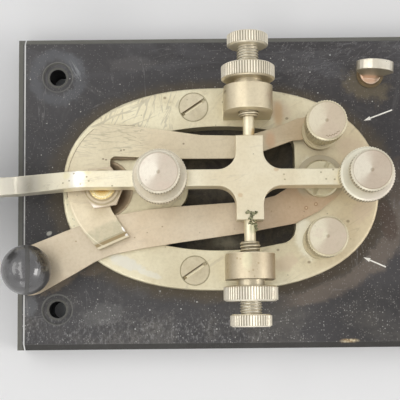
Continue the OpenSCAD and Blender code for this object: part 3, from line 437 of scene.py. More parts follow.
def strap_marks(g, color):
    """Long scratches on the broad part, a few dark pits, the darker olive end of the tab with a painted shade
    band and a painted highlight line across its lip, painted glints and a painted highlight along a curved
    edge.
    """
    broad = g.field(-0.024, -0.029, 0.0075, 0.0095)
    lines = g.most(g.hairs(-8, 1.1, 10, 0.24), g.hairs(12, 1.5, 9, 0.16))
    color = g.over(g.times(lines, broad), 0.5, color, (0.36, 0.31, 0.22))
    color = g.over(g.hairs(3, 2.2, 9, 0.08), 0.22, color, (0.44, 0.36, 0.26))
    pits = g.spots(((-33.4, 9.3), (-32.7, 9.4), (-37.8, 7.2), (-37.1, 7.0), (-34.9, 7.3), (-18.0, 10.8)),
                   0.36)
    color = g.over(pits, 0.8, color, (0.20, 0.15, 0.10))
    run, across, _ = g.axes(g.mapped((STUD.x, 0, 0), -67, (MM, MM, MM)))
    tab = g.times(g.band(across, 2.2, 1.6), g.band(g.y, -0.0045, -0.0055))
    olive_end = g.band(g.plus(run, g.times(g.uneven, 1.4)), 8.6, 10.0)
    grain = g.band(g.noise(900, 4, 0.7), 0.40, 0.62)
    color = g.over(g.times(olive_end, tab), g.plus(g.times(grain, 0.35), 0.5), color, (0.46, 0.42, 0.29))
    # Across the lip of the tab: a dark band of painted shade, then a pale line of painted highlight along its
    # edge
    for middle_at, half, tone in ((12.62, 0.40, (0.36, 0.27, 0.14)), (13.35, 0.24, (0.78, 0.70, 0.52))):
        line = g.near(run, middle_at, half + 0.12, half - 0.08)
        color = g.over(g.times(line, tab), 0.9, color, tone)
    # Painted highlight: two bright glints at the end of the tab
    painted_glints = g.most(g.patch(-32.9, -10.2, 0.9, 0.3, -56, 0.5), g.patch(-32.0, -11.6, 0.62, 0.42, 20, 0.4))
    color = g.over(painted_glints, 0.9, color, (0.97, 0.95, 0.92))
    # Painted highlight: a pale line along the curved edge of the tab
    bent_edge_highlight = g.near(g.from_centre((-28.7, 0.7))[0], 0.0176, 0.0002, 0.00008)
    bent_edge_highlight = g.times(bent_edge_highlight, g.band(g.y, -0.003, -0.005))
    color = g.over(bent_edge_highlight, 0.4, color, (0.86, 0.80, 0.62))
    rosy = g.patch(3.4, 11.4, 1.8, 3.0, 0, 0.6, 0.7)
    color = g.over(rosy, 0.75, color, (0.68, 0.47, 0.30))
    color = g.mix(g.field(-0.022, -0.034, 0.002, 0.006), color, (0.97, 1.0, 1.0), "MULTIPLY")
    color = g.over(g.patch(-38.8, -5.4, 4.6, 3.4, -20, 0.8, 0.9), 0.9, color, (0.82, 0.80, 0.76), "MULTIPLY")
    rear = g.band(g.x, -0.004, 0.014)
    return g.over(rear, 0.75, color, (0.80, 0.70, 0.60), "MULTIPLY")


def closer_marks(g, color):
    """Rust rings and pits towards the pivot, and a duller rosy rear half."""
    rear = g.band(g.x, -0.014, 0.012)
    color = g.over(rear, 0.85, color, (0.78, 0.66, 0.57), "MULTIPLY")
    color = g.mix(g.band(g.x, -0.028, -0.040), color, (0.80, 0.80, 0.79), "MULTIPLY")
    for x, y in ((12.0, -5.3), (14.4, -4.4)):
        far, _ = g.from_centre((x, y))
        color = g.over(g.near(far, 0.00035, 0.0002, 0.00006), 0.7, color, (0.34, 0.20, 0.10))
        color = g.over(g.band(far, 0.0002, 0.0001), 0.8, color, (0.78, 0.66, 0.45))
    area = g.field(-0.004, 0.002, 0.001, -0.003)
    many = g.times(g.specks(900, 0.2, 0.30, 0.44), area)
    color = g.over(many, 0.6, color, (0.30, 0.18, 0.10))
    end = g.times(g.band(g.from_centre((15.6, 1.8))[0], 0.0066, 0.0058), g.band(g.y, -0.0035, -0.0005))
    color = g.over(end, 0.85, color, (0.52, 0.47, 0.34))
    pits = g.spots(((-30.2, -12.2), (-1.2, -8.6), (-44.6, -13.0), (-23.4, -9.6)), 0.3)
    color = g.over(pits, 0.7, color, (0.28, 0.20, 0.12))
    return g.over(g.hairs(14, 2.4, 8, 0.08), 0.2, color, (0.46, 0.38, 0.28))


def axle_marks(g, color):
    """Orange rust by one arm and a green tinge by the other."""
    rust = g.patch(-1.3, 11.7, 0.8, 1.5, 0, 1.6, 1.0)
    color = g.over(rust, 0.7, color, (0.58, 0.38, 0.14))
    return g.over(g.patch(-1.6, -11.2, 1.2, 1.6, 0, 1.0), 0.6, color, (0.42, 0.42, 0.24))


def thumb_marks(g, color):
    """Copper-coloured stem with painted shade on its right side under the bright upper edge."""
    stem = g.band(g.z, (THUMB.z + 3.4) * MM, (THUMB.z + 1.6) * MM)
    # Painted shade on the right side of the stem
    side = g.band(g.x, (THUMB.x + 0.6) * MM, (THUMB.x + 1.6) * MM)
    color = g.over(stem, 0.85, color, (0.84, 0.60, 0.45))
    return g.over(g.times(stem, side), 0.6, color, (0.30, 0.22, 0.14))


def slot_marks(g, color):
    """Dirty frame screws whose slots are lightened with painted light, with a painted shadow along their
    upper side.
    """
    color = g.over(g.band(g.uneven, 0.45, 0.7), 0.3, color, (0.40, 0.33, 0.20))
    # Painted light on the slot floors
    slot = g.band(g.z, (FRAME_TOP - 0.12) * MM, (FRAME_TOP - 0.3) * MM)
    color = g.mix(slot, color, (0.90, 0.82, 0.60))
    for x, y in SCREWS:
        side = g.axes(g.mapped((x, y, 0), SLOT_TURN, (MM, MM, MM)))[1]
        # Painted shadow along the upper side of each slot
        upper = g.times(g.band(side, 0.0, 0.25), g.band(side, 2.0, 1.5))
        color = g.over(slot, upper, color, (0.24, 0.19, 0.11))
    return color


def hub_painted_shade(g, color):
    """Painted shade on the hubs between the knurled lock nuts and the lugs."""
    start = low("pivot_locknut_left").y
    hub = g.band(g.math("ABSOLUTE", g.y), (start + 2.2) * MM, (start + 1.6) * MM)
    return g.over(hub, 0.8, color, (0.66, 0.61, 0.50), "MULTIPLY")


def stud_marks(g, color):
    """Rings and a rosy tint on the hexagon and its collar, and a painted highlight on its corners to one
    side.
    """
    far, around = g.from_centre(STUD)
    for r, tone in ((3.35, (0.34, 0.26, 0.14)), (4.25, (0.42, 0.34, 0.20))):
        color = g.over(g.near(far, r * MM, 0.00028, 0.0001), 0.8, color, tone)
    corner = g.band(far, 0.0044, 0.0050)
    color = g.over(corner, 0.6, color, (0.56, 0.46, 0.33))
    # Painted highlight on the corners that face one way
    sector = g.band(g.math("COSINE", g.plus(around, 1.8)), 0.90, 0.98)
    return g.over(g.times(corner, sector), 0.9, color, (0.92, 0.82, 0.72))


def disc_marks(g, color):
    """Deep orange middle of the contact disc and a pale ring round it."""
    far, _ = g.from_centre(STUD)
    color = g.over(g.band(far, 0.0024, 0.0012), 0.8, color, (0.66, 0.42, 0.12))
    return g.over(g.near(far, 0.0025, 0.0003, 0.0001), 0.6, color, (0.92, 0.86, 0.62))


def shoulder_marks(g, color):
    """Painted shade, darker towards the inside of the hole."""
    far, _ = g.from_centre(STUD)
    return g.over(g.band(far, STUD_HOLE * MM - 0.0008, STUD_HOLE * MM - 0.0019), 0.7, color,
                  (0.24, 0.15, 0.09))


def nut_part(g, nut):
    """1 up to the top of a lock nut, 0 on the screw head over it."""
    return g.band(g.z, (high(nut).z + 0.6) * MM, (high(nut).z + 0.2) * MM)


def spring_head_marks(g, color):
    """Turned face of the tension screw, and a duller nut."""
    nut = nut_part(g, "spring_locknut")
    color = g.mix(nut, color, (0.99, 0.97, 0.95), "MULTIPLY")
    return turned(g, color, SPRING, high("spring_screw").z, HEAD_R - 0.2, (0.84, 0.78, 0.66),
                  (0.60, 0.52, 0.42), (0.36, 0.28, 0.19))


def stop_head_marks(g, color):
    """Turned face of the gap screw, and a paler nut that turns rosy to the rear."""
    nut = nut_part(g, "stop_locknut")
    color = g.over(nut, 0.7, color, (0.88, 0.85, 0.70))
    rosy = g.times(nut, g.band(g.minus(g.x, g.y), STOP.x * MM, (STOP.x + 7) * MM))
    color = g.over(rosy, 0.6, color, (0.78, 0.68, 0.58))
    return turned(g, color, STOP, high("stop_screw").z, HEAD_R - 0.2, (0.76, 0.70, 0.57), (0.54, 0.45, 0.35),
                  (0.32, 0.24, 0.16))


def post_b_marks(g, color):
    """Turned face of binding nut b."""
    return turned(g, color, POST_B, high("binding_nut_b").z, POST_R - 0.12, (0.72, 0.66, 0.50),
                  (0.58, 0.49, 0.37), (0.34, 0.26, 0.16))


def post_a_marks(g, color):
    """Turned face of binding nut a, with slipped tool marks near its lower edge."""
    color = turned(g, color, POST_A, high("binding_nut_a").z, POST_R - 0.12, (0.72, 0.65, 0.49),
                   (0.60, 0.50, 0.37), (0.34, 0.26, 0.16))
    far, around = g.from_centre(POST_A)
    wave = g.times(g.math("SINE", g.times(around, 34.0)), 0.00012)
    track = g.near(g.plus(far, wave), 0.0037, 0.00016, 0.00006)
    mark = g.times(track, g.near(around, radians(-68), 0.52, 0.42))
    return g.over(mark, 0.8, color, (0.26, 0.19, 0.11))


# Tones as bright, dull and stained
FRAME_TONE = ((0.78, 0.72, 0.52), (0.70, 0.63, 0.44), (0.36, 0.29, 0.17))
LEVER_TONE = ((0.88, 0.81, 0.61), (0.80, 0.72, 0.52), (0.40, 0.32, 0.18))
STRAP_TONE = ((0.70, 0.61, 0.44), (0.64, 0.55, 0.39), (0.32, 0.24, 0.14))
CLOSER_TONE = ((0.69, 0.59, 0.44), (0.63, 0.52, 0.37), (0.32, 0.23, 0.14))
SCREW_TONE = ((0.90, 0.84, 0.70), (0.80, 0.73, 0.58), (0.32, 0.26, 0.16))
PALE_TONE = ((0.76, 0.71, 0.58), (0.66, 0.60, 0.47), (0.34, 0.28, 0.19))
STOP_TONE = ((0.74, 0.69, 0.55), (0.66, 0.60, 0.46), (0.34, 0.28, 0.19))
FLAT_TONE = ((0.70, 0.63, 0.46), (0.60, 0.53, 0.37), (0.28, 0.22, 0.13))
DULL_TONE = ((0.74, 0.68, 0.48), (0.66, 0.59, 0.41), (0.32, 0.25, 0.14))
THREAD_TONE = ((0.74, 0.68, 0.54), (0.62, 0.56, 0.42), (0.26, 0.21, 0.12))
TIP_TONE = ((0.84, 0.78, 0.62), (0.72, 0.66, 0.50), (0.46, 0.38, 0.24))
POST_TONE = ((0.74, 0.67, 0.48), (0.56, 0.49, 0.32), (0.24, 0.19, 0.10))
BRASS_TONE = ((0.62, 0.43, 0.16), (0.47, 0.31, 0.11), (0.14, 0.09, 0.04))

mats = {
    "frame": plated("frame_plating", *FRAME_TONE, dirt=1.0, rough=(0.38, 0.54), edge=0.3, marks=frame_marks),
    "lever": plated("lever_plating", *LEVER_TONE, dirt=0.35, rough=(0.28, 0.42), edge=0.45, marks=lever_marks,
                    rising=(-54.4, 0.050), side=0.15),
    "strap": plated("strap_sheet", *STRAP_TONE, dirt=0.35, rough=(0.38, 0.52), edge=0.12, marks=strap_marks),
    "closer": plated("closer_sheet", *CLOSER_TONE, dirt=0.3, rough=(0.38, 0.52), edge=0.14,
                     marks=closer_marks),
    "stud": plated("stud_plating", (0.62, 0.53, 0.39), (0.52, 0.43, 0.30), (0.24, 0.17, 0.10),
                   dirt=0.8, rough=(0.26, 0.42), edge=0.25, metallic=0.6, marks=stud_marks),
    "screw": plated("screw_plating", *SCREW_TONE, dirt=0.6, rough=(0.30, 0.46), edge=0.1, metallic=0.6,
                    knurl=(PIVOT, ACROSS, (HEAD_R, NUT_R)), side=0.3, marks=hub_painted_shade),
    "spring_pale": plated("spring_head_plating", *PALE_TONE, dirt=0.4, rough=(0.34, 0.48), edge=0.12,
                          knurl=(SPRING, UP, (HEAD_R, NUT_R)), marks=spring_head_marks),
    "stop_pale": plated("stop_head_plating", *STOP_TONE, dirt=0.5, rough=(0.34, 0.48), edge=0.12,
                        knurl=(STOP, UP, (HEAD_R, NUT_R)), marks=stop_head_marks),
    "flat_screw": plated("flat_screw_plating", *FLAT_TONE, dirt=0.8, rough=(0.38, 0.54), edge=0.12),
    "slot_screw": plated("frame_screw_plating", *FLAT_TONE, dirt=0.8, rough=(0.38, 0.54), edge=0.08,
                         marks=slot_marks),
    "dull_screw": plated("dull_screw_plating", *DULL_TONE, dirt=0.8, rough=(0.4, 0.55), edge=0.08),
    "post_a": plated("post_plating_a", *POST_TONE, dirt=0.7, rough=(0.34, 0.5), edge=0.12,
                     marks=post_a_marks, side=0.85),
    "post_b": plated("post_plating_b", *POST_TONE, dirt=0.7, rough=(0.34, 0.5), edge=0.12,
                     marks=post_b_marks, side=0.85),
    "axle": plated("axle_steel", *LEVER_TONE, dirt=0.8, rough=(0.34, 0.48), edge=0.1, marks=axle_marks),
    "thumb": plated("thumb_plating", (0.76, 0.71, 0.60), (0.66, 0.60, 0.48), (0.34, 0.28, 0.19),
                    dirt=0.5, rough=(0.25, 0.4), edge=0.4, metallic=0.7, marks=thumb_marks),
    "brass": plated("plain_brass", *BRASS_TONE, dirt=0.8, rough=(0.3, 0.5), edge=0.15, metallic=0.8),
    "gold": plated("contact_face", (0.88, 0.72, 0.38), (0.84, 0.66, 0.30), (0.50, 0.32, 0.10),
                   dirt=0.2, rough=(0.2, 0.32), edge=0.08, metallic=0.8, marks=disc_marks),
    "old_brass": plated("tarnished_brass", (0.20, 0.15, 0.08), (0.12, 0.09, 0.05), (0.05, 0.035, 0.02),
                        dirt=1.0, rough=(0.4, 0.6), edge=0.1, metallic=0.5),
    "shoulder": plated("hole_shoulder", (0.66, 0.54, 0.38), (0.52, 0.41, 0.27), (0.22, 0.14, 0.08),
                       dirt=0.8, rough=(0.4, 0.6), edge=0.1, marks=shoulder_marks),
    "silver": plated("silver_face", (0.80, 0.79, 0.76), (0.66, 0.64, 0.60), (0.2, 0.17, 0.14),
                     dirt=0.5, rough=(0.2, 0.36), edge=0.08, metallic=0.8),
    "wire": plated("spring_wire", (0.52, 0.49, 0.43), (0.38, 0.34, 0.28), (0.14, 0.1, 0.07),
                   dirt=0.6, rough=(0.3, 0.45), edge=0.05, metallic=0.8),
}
for name, tone, at, axis, crest in (("spring_thread", THREAD_TONE, SPRING, UP, THREAD_CREST),
                                    ("stop_thread", THREAD_TONE, STOP, UP, THREAD_CREST),
                                    ("pivot_thread", THREAD_TONE, PIVOT, ACROSS, THREAD_CREST),
                                    ("tip_thread", TIP_TONE, PIVOT, ACROSS, TIP_CREST)):
    mats[name] = plated(name, *tone, rough=(0.3, 0.45), edge=0.05, thread=(at, axis, crest), side=0.2)


def black_base():
    """Dusty charcoal moulding: scratches, pale specks, dried smears and a tarnish stain round the frame, with
    painted light where the base is seen through the frame, painted shade on the bevels and in the bores,
    painted light on the left and rear bevels and a painted highlight along the left edge.
    """
    g = Graph("base_black")
    cloud = g.noise(26, 6, 0.62, warp=0.4)
    dust = g.noise(130, 6, 0.74, warp=0.8)
    fine = g.noise(1500, 3, 0.65)
    color = g.mix(g.band(cloud, 0.32, 0.7), (0.030, 0.027, 0.028), (0.050, 0.046, 0.047))
    side = g.band(g.plus(g.x, g.y), 0.07, -0.07)
    color = g.over(side, 0.5, color, (0.070, 0.068, 0.070))
    color = g.over(g.band(dust, 0.50, 0.74), 0.5, color, (0.140, 0.135, 0.132))
    low_dust = g.times(g.band(g.y, -0.022, -0.034), g.band(g.noise(90, 5, 0.7), 0.42, 0.66))
    color = g.over(low_dust, 0.55, color, (0.155, 0.145, 0.13))

    far_x = g.math("POWER", g.math("ABSOLUTE", g.times(g.minus(g.x, OVAL_X * MM), 1 / OVAL_A / MM)),
                   OVAL_POWER)
    far_y = g.math("POWER", g.math("ABSOLUTE", g.times(g.y, 1 / OVAL_B / MM)), OVAL_POWER)
    oval = g.math("POWER", g.plus(far_x, far_y), 1 / OVAL_POWER)
    ragged = g.plus(oval, g.times(g.minus(dust, 0.5), 0.22))
    color = g.over(g.band(ragged, 1.16, 1.03), 0.65, color, (0.105, 0.080, 0.045))
    rear = g.field(0.002, 0.012, 0.004, -0.006)
    smear = g.times(g.band(ragged, 1.08, 1.12), g.band(ragged, 1.26, 1.20))
    color = g.over(g.times(smear, rear), 0.8, color, (0.165, 0.135, 0.110))
    gap = g.times(g.band(oval, 1.09, 1.06), rear)
    color = g.over(gap, 0.6, color, (0.050, 0.036, 0.024))

    for x, y, rx, ry, turn, tone, share in (
            (33.2, -8.0, 2.6, 6.5, 14, (0.075, 0.050, 0.036), 0.8),
            (36.0, 2.0, 4.0, 7.0, 10, (0.100, 0.075, 0.055), 0.6),
            (19.0, 31.0, 7.0, 2.4, -12, (0.100, 0.098, 0.104), 0.5),
            (28.6, 27.0, 7.2, 5.6, -20, (0.135, 0.112, 0.074), 0.8),
            (-50.0, -22.6, 6.6, 2.6, 24, (0.190, 0.150, 0.105), 0.75),
            (-40.5, -19.6, 4.4, 1.8, 20, (0.170, 0.135, 0.098), 0.6),
            (-57.0, -29.0, 2.4, 3.6, 0, (0.165, 0.170, 0.175), 0.6),
            (-39.0, -31.0, 7.0, 3.2, 10, (0.150, 0.148, 0.142), 0.5),
            (-31.0, 33.0, 7.0, 2.6, 0, (0.120, 0.112, 0.110), 0.5)):
        color = g.over(g.patch(x, y, rx, ry, turn, 1.4), share, color, tone)
    streaky = g.band(g.noise(120, 6, 0.7, g.mapped(size=(5, 1, 1)), 0.6), 0.44, 0.66)
    color = g.over(g.times(streaky, g.band(g.y, 0.027, 0.033)), 0.36, color, (0.150, 0.148, 0.155))
    far_right = g.field(0.012, 0.026, -0.022, -0.027)
    color = g.over(far_right, 0.9, color, (0.58, 0.57, 0.56), "MULTIPLY")
    hole, _ = g.from_centre((-HOLE_X, HOLE_Y))
    hole = g.plus(hole, g.times(g.minus(g.uneven, 0.5), 0.004))
    halo = g.times(g.band(hole, 0.0040, 0.0052), g.band(hole, 0.0082, 0.0064))
    color = g.over(halo, 0.5, color, (0.130, 0.135, 0.146))
    cloudy = g.patch(-46.0, 33.0, 6.0, 3.6, -30, 1.6, 1.0)
    color = g.over(cloudy, 0.5, color, (0.150, 0.155, 0.165))
    streak = g.times(g.hairs(-62, 1.2, 5, 0.3, 0.03), g.patch(-45.4, 31.6, 2.6, 3.6, 20, 0.6, 0.8))
    color = g.over(streak, 0.6, color, (0.30, 0.31, 0.32))

    marks = g.times(g.most(g.hairs(10, 2.6, 9, 0.06, 0.014), g.hairs(95, 2.2, 8, 0.07, 0.014)), 0.6)
    network = g.most(g.hairs(8, 1.3, 7, 0.25, 0.02), g.hairs(48, 1.7, 6, 0.16, 0.02))
    network = g.times(network, g.field(0.001, 0.008, 0.025, 0.030))
    color = g.over(network, 0.32, color, (0.21, 0.205, 0.21))
    for x, y, length, turn in (
            (-9.5, 36.2, 9, 2), (4.5, 35.0, 8, -4), (14.0, 33.6, 5, 60), (24.0, 36.0, 4, 25),
            (-27.0, -34.5, 6, 40), (-38.0, -27.5, 4, 110), (10.5, -35.5, 7, 8),
            (49.0, 8.0, 4, 80), (52.0, -27.0, 6, 35), (-56.0, 12.0, 4, 75)):
        marks = g.most(marks, g.times(g.patch(x, y, length / 2, 0.09, turn, 0.5, 0.9), 0.7))
    color = g.over(marks, 0.5, color, (0.26, 0.25, 0.245))
    crowd = g.band(g.noise(45, 3, 0.6), 0.34, 0.62, 0.3, 1.0)
    tiny = g.most(g.specks(2100, 0.36, 0.34, 0.11), g.specks(1500, 0.28, 0.26, 0.37))
    color = g.over(g.times(tiny, crowd), 0.5, color, (0.34, 0.32, 0.30))
    color = g.over(g.specks(700, 0.14, 0.07, 0.73), 0.85, color, (0.66, 0.64, 0.60))
    crunch = g.noise(1250, 4, 0.8, g.mapped(turn=80, size=(1.5, 1, 1)))
    crusty = g.times(g.band(g.y, -0.029, -0.034), g.band(g.x, 0.008, -0.004))
    color = g.over(g.times(crusty, g.band(crunch, 0.52, 0.66)), 0.65, color, (0.27, 0.265, 0.26))
    color = g.over(g.times(crusty, g.band(crunch, 0.46, 0.38)), 0.65, color, (0.030, 0.028, 0.026))
    gritty = g.times(g.specks(1700, 0.32, 0.5, 0.59), g.band(g.y, -0.024, -0.031))
    gritty = g.times(gritty, g.band(g.noise(260, 3, 0.6), 0.44, 0.56))
    color = g.over(gritty, 0.8, color, (0.46, 0.45, 0.43))
    flecks = g.spots(((-15.1, -28.0), (-19.1, -29.7), (-10.2, -34.8), (-26.9, -29.9), (-30.6, -34.6),
                      (-24.3, -25.2), (7.5, 33.5), (19.5, 34.7), (14.3, 30.3), (10.9, 24.1), (16.2, 24.9)),
                     0.24)
    color = g.mix(flecks, color, (0.66, 0.66, 0.64))
    color = g.mix(g.patch(-52.1, -10.4, 0.95, 0.62, 30, 0.8), color, (0.56, 0.55, 0.50))

    inside = g.band(oval, 0.985, 0.93)
    dusty = g.band(dust, 0.42, 0.66)
    color = g.over(inside, 0.85, color, g.mix(dusty, (0.026, 0.020, 0.014), (0.110, 0.095, 0.064)))

    # Painted light: brown and tan patches on the base where it is seen through the frame, round the stud and
    # at the front of the opening
    color = g.over(g.patch(STUD.x, 0, 7.4, 7.4, 0, 0.3), 0.85, color, (0.36, 0.22, 0.13))
    color = g.over(g.patch(-7.4, -13.2, 5.0, 3.0, 0, 1.4, 1.0), 0.8, color, (0.34, 0.31, 0.22))
    sloping = g.times(g.band(g.z, (BASE_TOP - 1.7) * MM, (BASE_TOP - 1.5) * MM),
                      g.band(g.z, (BASE_TOP - 0.02) * MM, (BASE_TOP - 0.12) * MM))
    aside = g.minus(g.math("ABSOLUTE", g.x), HOLE_X * MM)
    along = g.minus(g.math("ABSOLUTE", g.y), HOLE_Y * MM)
    radius = g.length(aside, along)
    for ring, tone in ((3.75, (0.19, 0.19, 0.17)), (2.45, (0.12, 0.12, 0.095))):
        worn_ring = g.near(radius, ring * MM, 0.00032, 0.00010)
        color = g.over(worn_ring, g.band(dust, 0.3, 0.6, 0.3, 0.7), color, tone)
    rim = g.most(g.band(g.math("ABSOLUTE", g.x), 0.0570, 0.0576),
                 g.band(g.math("ABSOLUTE", g.y), 0.0368, 0.0374))
    sloping = g.times(sloping, rim)
    # Painted shade: the walls of the through holes near black
    bore = g.times(g.band(g.z, (BASE_TOP - 0.54) * MM, (BASE_TOP - 0.70) * MM), g.band(g.z, 0.00005, 0.0003))
    bore = g.times(bore, g.minus(1.0, rim))
    color = g.over(bore, 0.92, color, (0.004, 0.004, 0.004))
    # Painted shade on all the bevels, then painted light on the left and rear ones
    lit = g.most(g.band(g.x, -0.0585, -0.0592), g.band(g.y, 0.0380, 0.0386))
    color = g.over(sloping, 0.9, color, (0.024, 0.022, 0.018))
    color = g.over(g.times(sloping, lit), 0.85, color, (0.150, 0.147, 0.124))
    chip = g.patch(23.0, -38.0, 2.8, 0.75, 0, 1.3, 0.7)
    color = g.mix(chip, color, g.mix(g.band(fine, 0.4, 0.6), (0.30, 0.20, 0.10), (0.72, 0.62, 0.42)))
    soft, worn = g.edge(0.22 * MM)
    color = g.over(worn, 0.35, color, (0.24, 0.235, 0.21))
    # Painted highlight: a pale line along the top edge of the left bevel
    line = g.near(g.x, -0.05842, 0.00022, 0.00008)
    color = g.over(line, g.band(dust, 0.3, 0.45, 0.6, 0.95), color, (0.80, 0.80, 0.78))
    roughness = g.band(dust, 0.35, 0.7, 0.44, 0.68)
    height = g.minus(g.plus(g.times(fine, 0.4), dust), g.times(marks, 0.8))
    return g.finish(color, roughness, g.bump(height, 0.4, 0.00008, soft), 0.0, 0.4)


def dark_plastic(name, dark, pale, rough, scuff, coat=0.0):
    """Hard dark plastic with a faint cloud, fine scuffs and specks of dust."""
    g = Graph(name)
    cloud = g.noise(130, 4, 0.6)
    lines = g.hairs(80, 1.8, 5, 0.14)
    dots = g.specks(900, 0.14, 0.14, 0.21)
    color = g.mix(g.band(cloud, 0.3, 0.7), dark, pale)
    color = g.over(g.most(lines, dots), scuff, color, (0.32, 0.32, 0.33))
    soft, worn = g.edge(0.2 * MM)
    color = g.over(worn, 0.3, color, scaled(pale, 3))
    roughness = g.plus(g.band(cloud, 0.3, 0.7, rough[0], rough[1]), g.times(lines, 0.15))
    bumps = g.plus(cloud, lines)
    return g.finish(color, roughness, g.bump(bumps, 0.15, 0.00005, soft), 0.0, 0.5, coat)


def verdigris():
    """Crumbly green crust."""
    g = Graph("verdigris")
    lumps = g.noise(2200, 4, 0.7)
    color = g.mix(g.band(lumps, 0.38, 0.62), (0.050, 0.050, 0.022), (0.42, 0.41, 0.25))
    return g.finish(color, 0.9, g.bump(lumps, 0.8, 0.00012), 0.0, 0.2)


def engraved_white():
    """White paint in an engraved line, a little worn."""
    g = Graph("engraved_white")
    wear = g.noise(1600, 4, 0.7)
    color = g.mix(g.band(wear, 0.54, 0.74), (0.95, 0.93, 0.86), (0.50, 0.48, 0.43))
    return g.finish(color, g.band(wear, 0.3, 0.7, 0.55, 0.8), g.bump(wear, 0.3, 0.00004), 0.0, 0.3)


mats["base"] = black_base()
mats["ball"] = dark_plastic("ball_black", (0.026, 0.022, 0.022), (0.062, 0.060, 0.058), (0.24, 0.36),
                            0.25, 0.8)
mats["ball"].node_tree.nodes["Principled BSDF"].inputs["Specular IOR Level"].default_value = 1.0
mats["seam"] = dark_plastic("ball_seam", (0.075, 0.073, 0.070), (0.120, 0.118, 0.112), (0.55, 0.7), 0.15)
mats["knob"] = dark_plastic("knob_black", (0.012, 0.012, 0.014), (0.024, 0.023, 0.024), (0.16, 0.3),
                            0.14, 0.4)
mats["fibre"] = dark_plastic("insulating_fibre", (0.24, 0.18, 0.12), (0.34, 0.27, 0.18), (0.6, 0.8), 0.2)
mats["crust"] = verdigris()
mats["white"] = engraved_white()

use = {
    "base": ["base_plate"],
    "frame": ["key_frame"],
    "lever": ["lever"],
    "strap": ["contact_strap"],
    "closer": ["closer_arm"],
    "screw": ["pivot_screw_left", "pivot_screw_right", "pivot_locknut_left", "pivot_locknut_right"],
    "stud": ["contact_stud"],
    "spring_pale": ["spring_screw", "spring_locknut"],
    "stop_pale": ["stop_screw", "stop_locknut"],
    "slot_screw": ["frame_screws"],
    "flat_screw": ["closer_washer", "knob_screw", "closer_ball_screw", "clamp_washer_a", "clamp_washer_b"],
    "dull_screw": ["closer_pivot_screw"],
    "post_a": ["binding_nut_a", "post_stud_a"],
    "post_b": ["binding_nut_b", "post_stud_b"],
    "axle": ["axle"],
    "thumb": ["thumb_screw"],
    "brass": ["frame_nuts", "stud_nuts", "under_link", "insert_nut"],
    "old_brass": ["terminal_insert", "contact_spacer"],
    "gold": ["contact_disc"],
    "silver": ["upper_contact"],
    "wire": ["return_spring"],
    "ball": ["closer_ball"],
    "knob": ["knob"],
    "fibre": ["strap_insulator", "post_insulator"],
}
for key, names in use.items():
    for n in names:
        nodes[n].data.materials.clear()
        nodes[n].data.materials.append(mats[key])


# Mesh helpers
def piece(name, verts, faces, material, body, smooth=False):
    mesh = bpy.data.meshes.new(name)
    mesh.from_pydata([Vector(v) * MM for v in verts], [], faces)
    bm = bmesh.new()
    bm.from_mesh(mesh)
    bmesh.ops.recalc_face_normals(bm, faces=bm.faces)
    bm.to_mesh(mesh)
    bm.free()
    for p in mesh.polygons:
        p.use_smooth = smooth
    mesh.materials.append(material)
    made = bpy.data.objects.new(name, mesh)
    bpy.context.scene.collection.objects.link(made)
    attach(made, body)


def aim(axis):
    """Two unit vectors across a turning axis and one along it: 'z', '+y' or '-y'."""
    if axis == "z":
        return Vector((1, 0, 0)), Vector((0, 1, 0)), Vector((0, 0, 1))
    s = 1 if axis == "+y" else -1
    return Vector((1, 0, 0)), Vector((0, 0, -s)), Vector((0, s, 0))


def skin(rings, n, base=0):
    """Faces between rings of n points each, the first point at base."""
    return [(base + n * i + k, base + n * i + (k + 1) % n, base + n * i + n + (k + 1) % n,
             base + n * i + n + k) for i in range(rings) for k in range(n)]


def lathe(name, centre, profile, steps, material, body):
    """Turned ring on an upright axis: profile is a closed loop of (radius, height)."""
    c = Vector(centre)
    verts, faces = [], []
    n = len(profile)
    for i in range(steps):
        j = (i + 1) % steps
        a = 2 * pi * i / steps
        d = Vector((cos(a), sin(a), 0))
        verts += [c + d * r + Vector((0, 0, h)) for r, h in profile]
        for k in range(n):
            m = (k + 1) % n
            faces.append((i * n + k, j * n + k, j * n + m, i * n + m))
    piece(name, verts, faces, material, body, True)


def thread(name, centre, axis, start, end, root, crest, pitch, material, body):
    """Screw thread on a bare shank, run out at both ends."""
    u, v, w = aim(axis)
    c = Vector(centre)
    steps = 36
    run_out = steps // 4
    total = int((end - start) / pitch * steps)
    verts = []
    for i in range(total + 1):
        a = 2 * pi * i / steps
        h = start + pitch * i / steps
        fade = min(1.0, i / run_out, (total - i) / run_out)
        top = root + (crest - root) * fade
        d = cos(a) * u + sin(a) * v
        half = 0.46 * pitch
        for r, dh in ((root, -half), (top, -0.06 * pitch), (top, 0.06 * pitch), (root, half)):
            verts.append(c + d * r + w * min(max(h + dh, start), end))
        verts.append(c + d * (root - 0.15) + w * min(max(h, start), end))
    faces = skin(total, 5) + [tuple(range(5)), tuple(5 * total + k for k in (4, 3, 2, 1, 0))]
    piece(name, verts, faces, material, body, True)


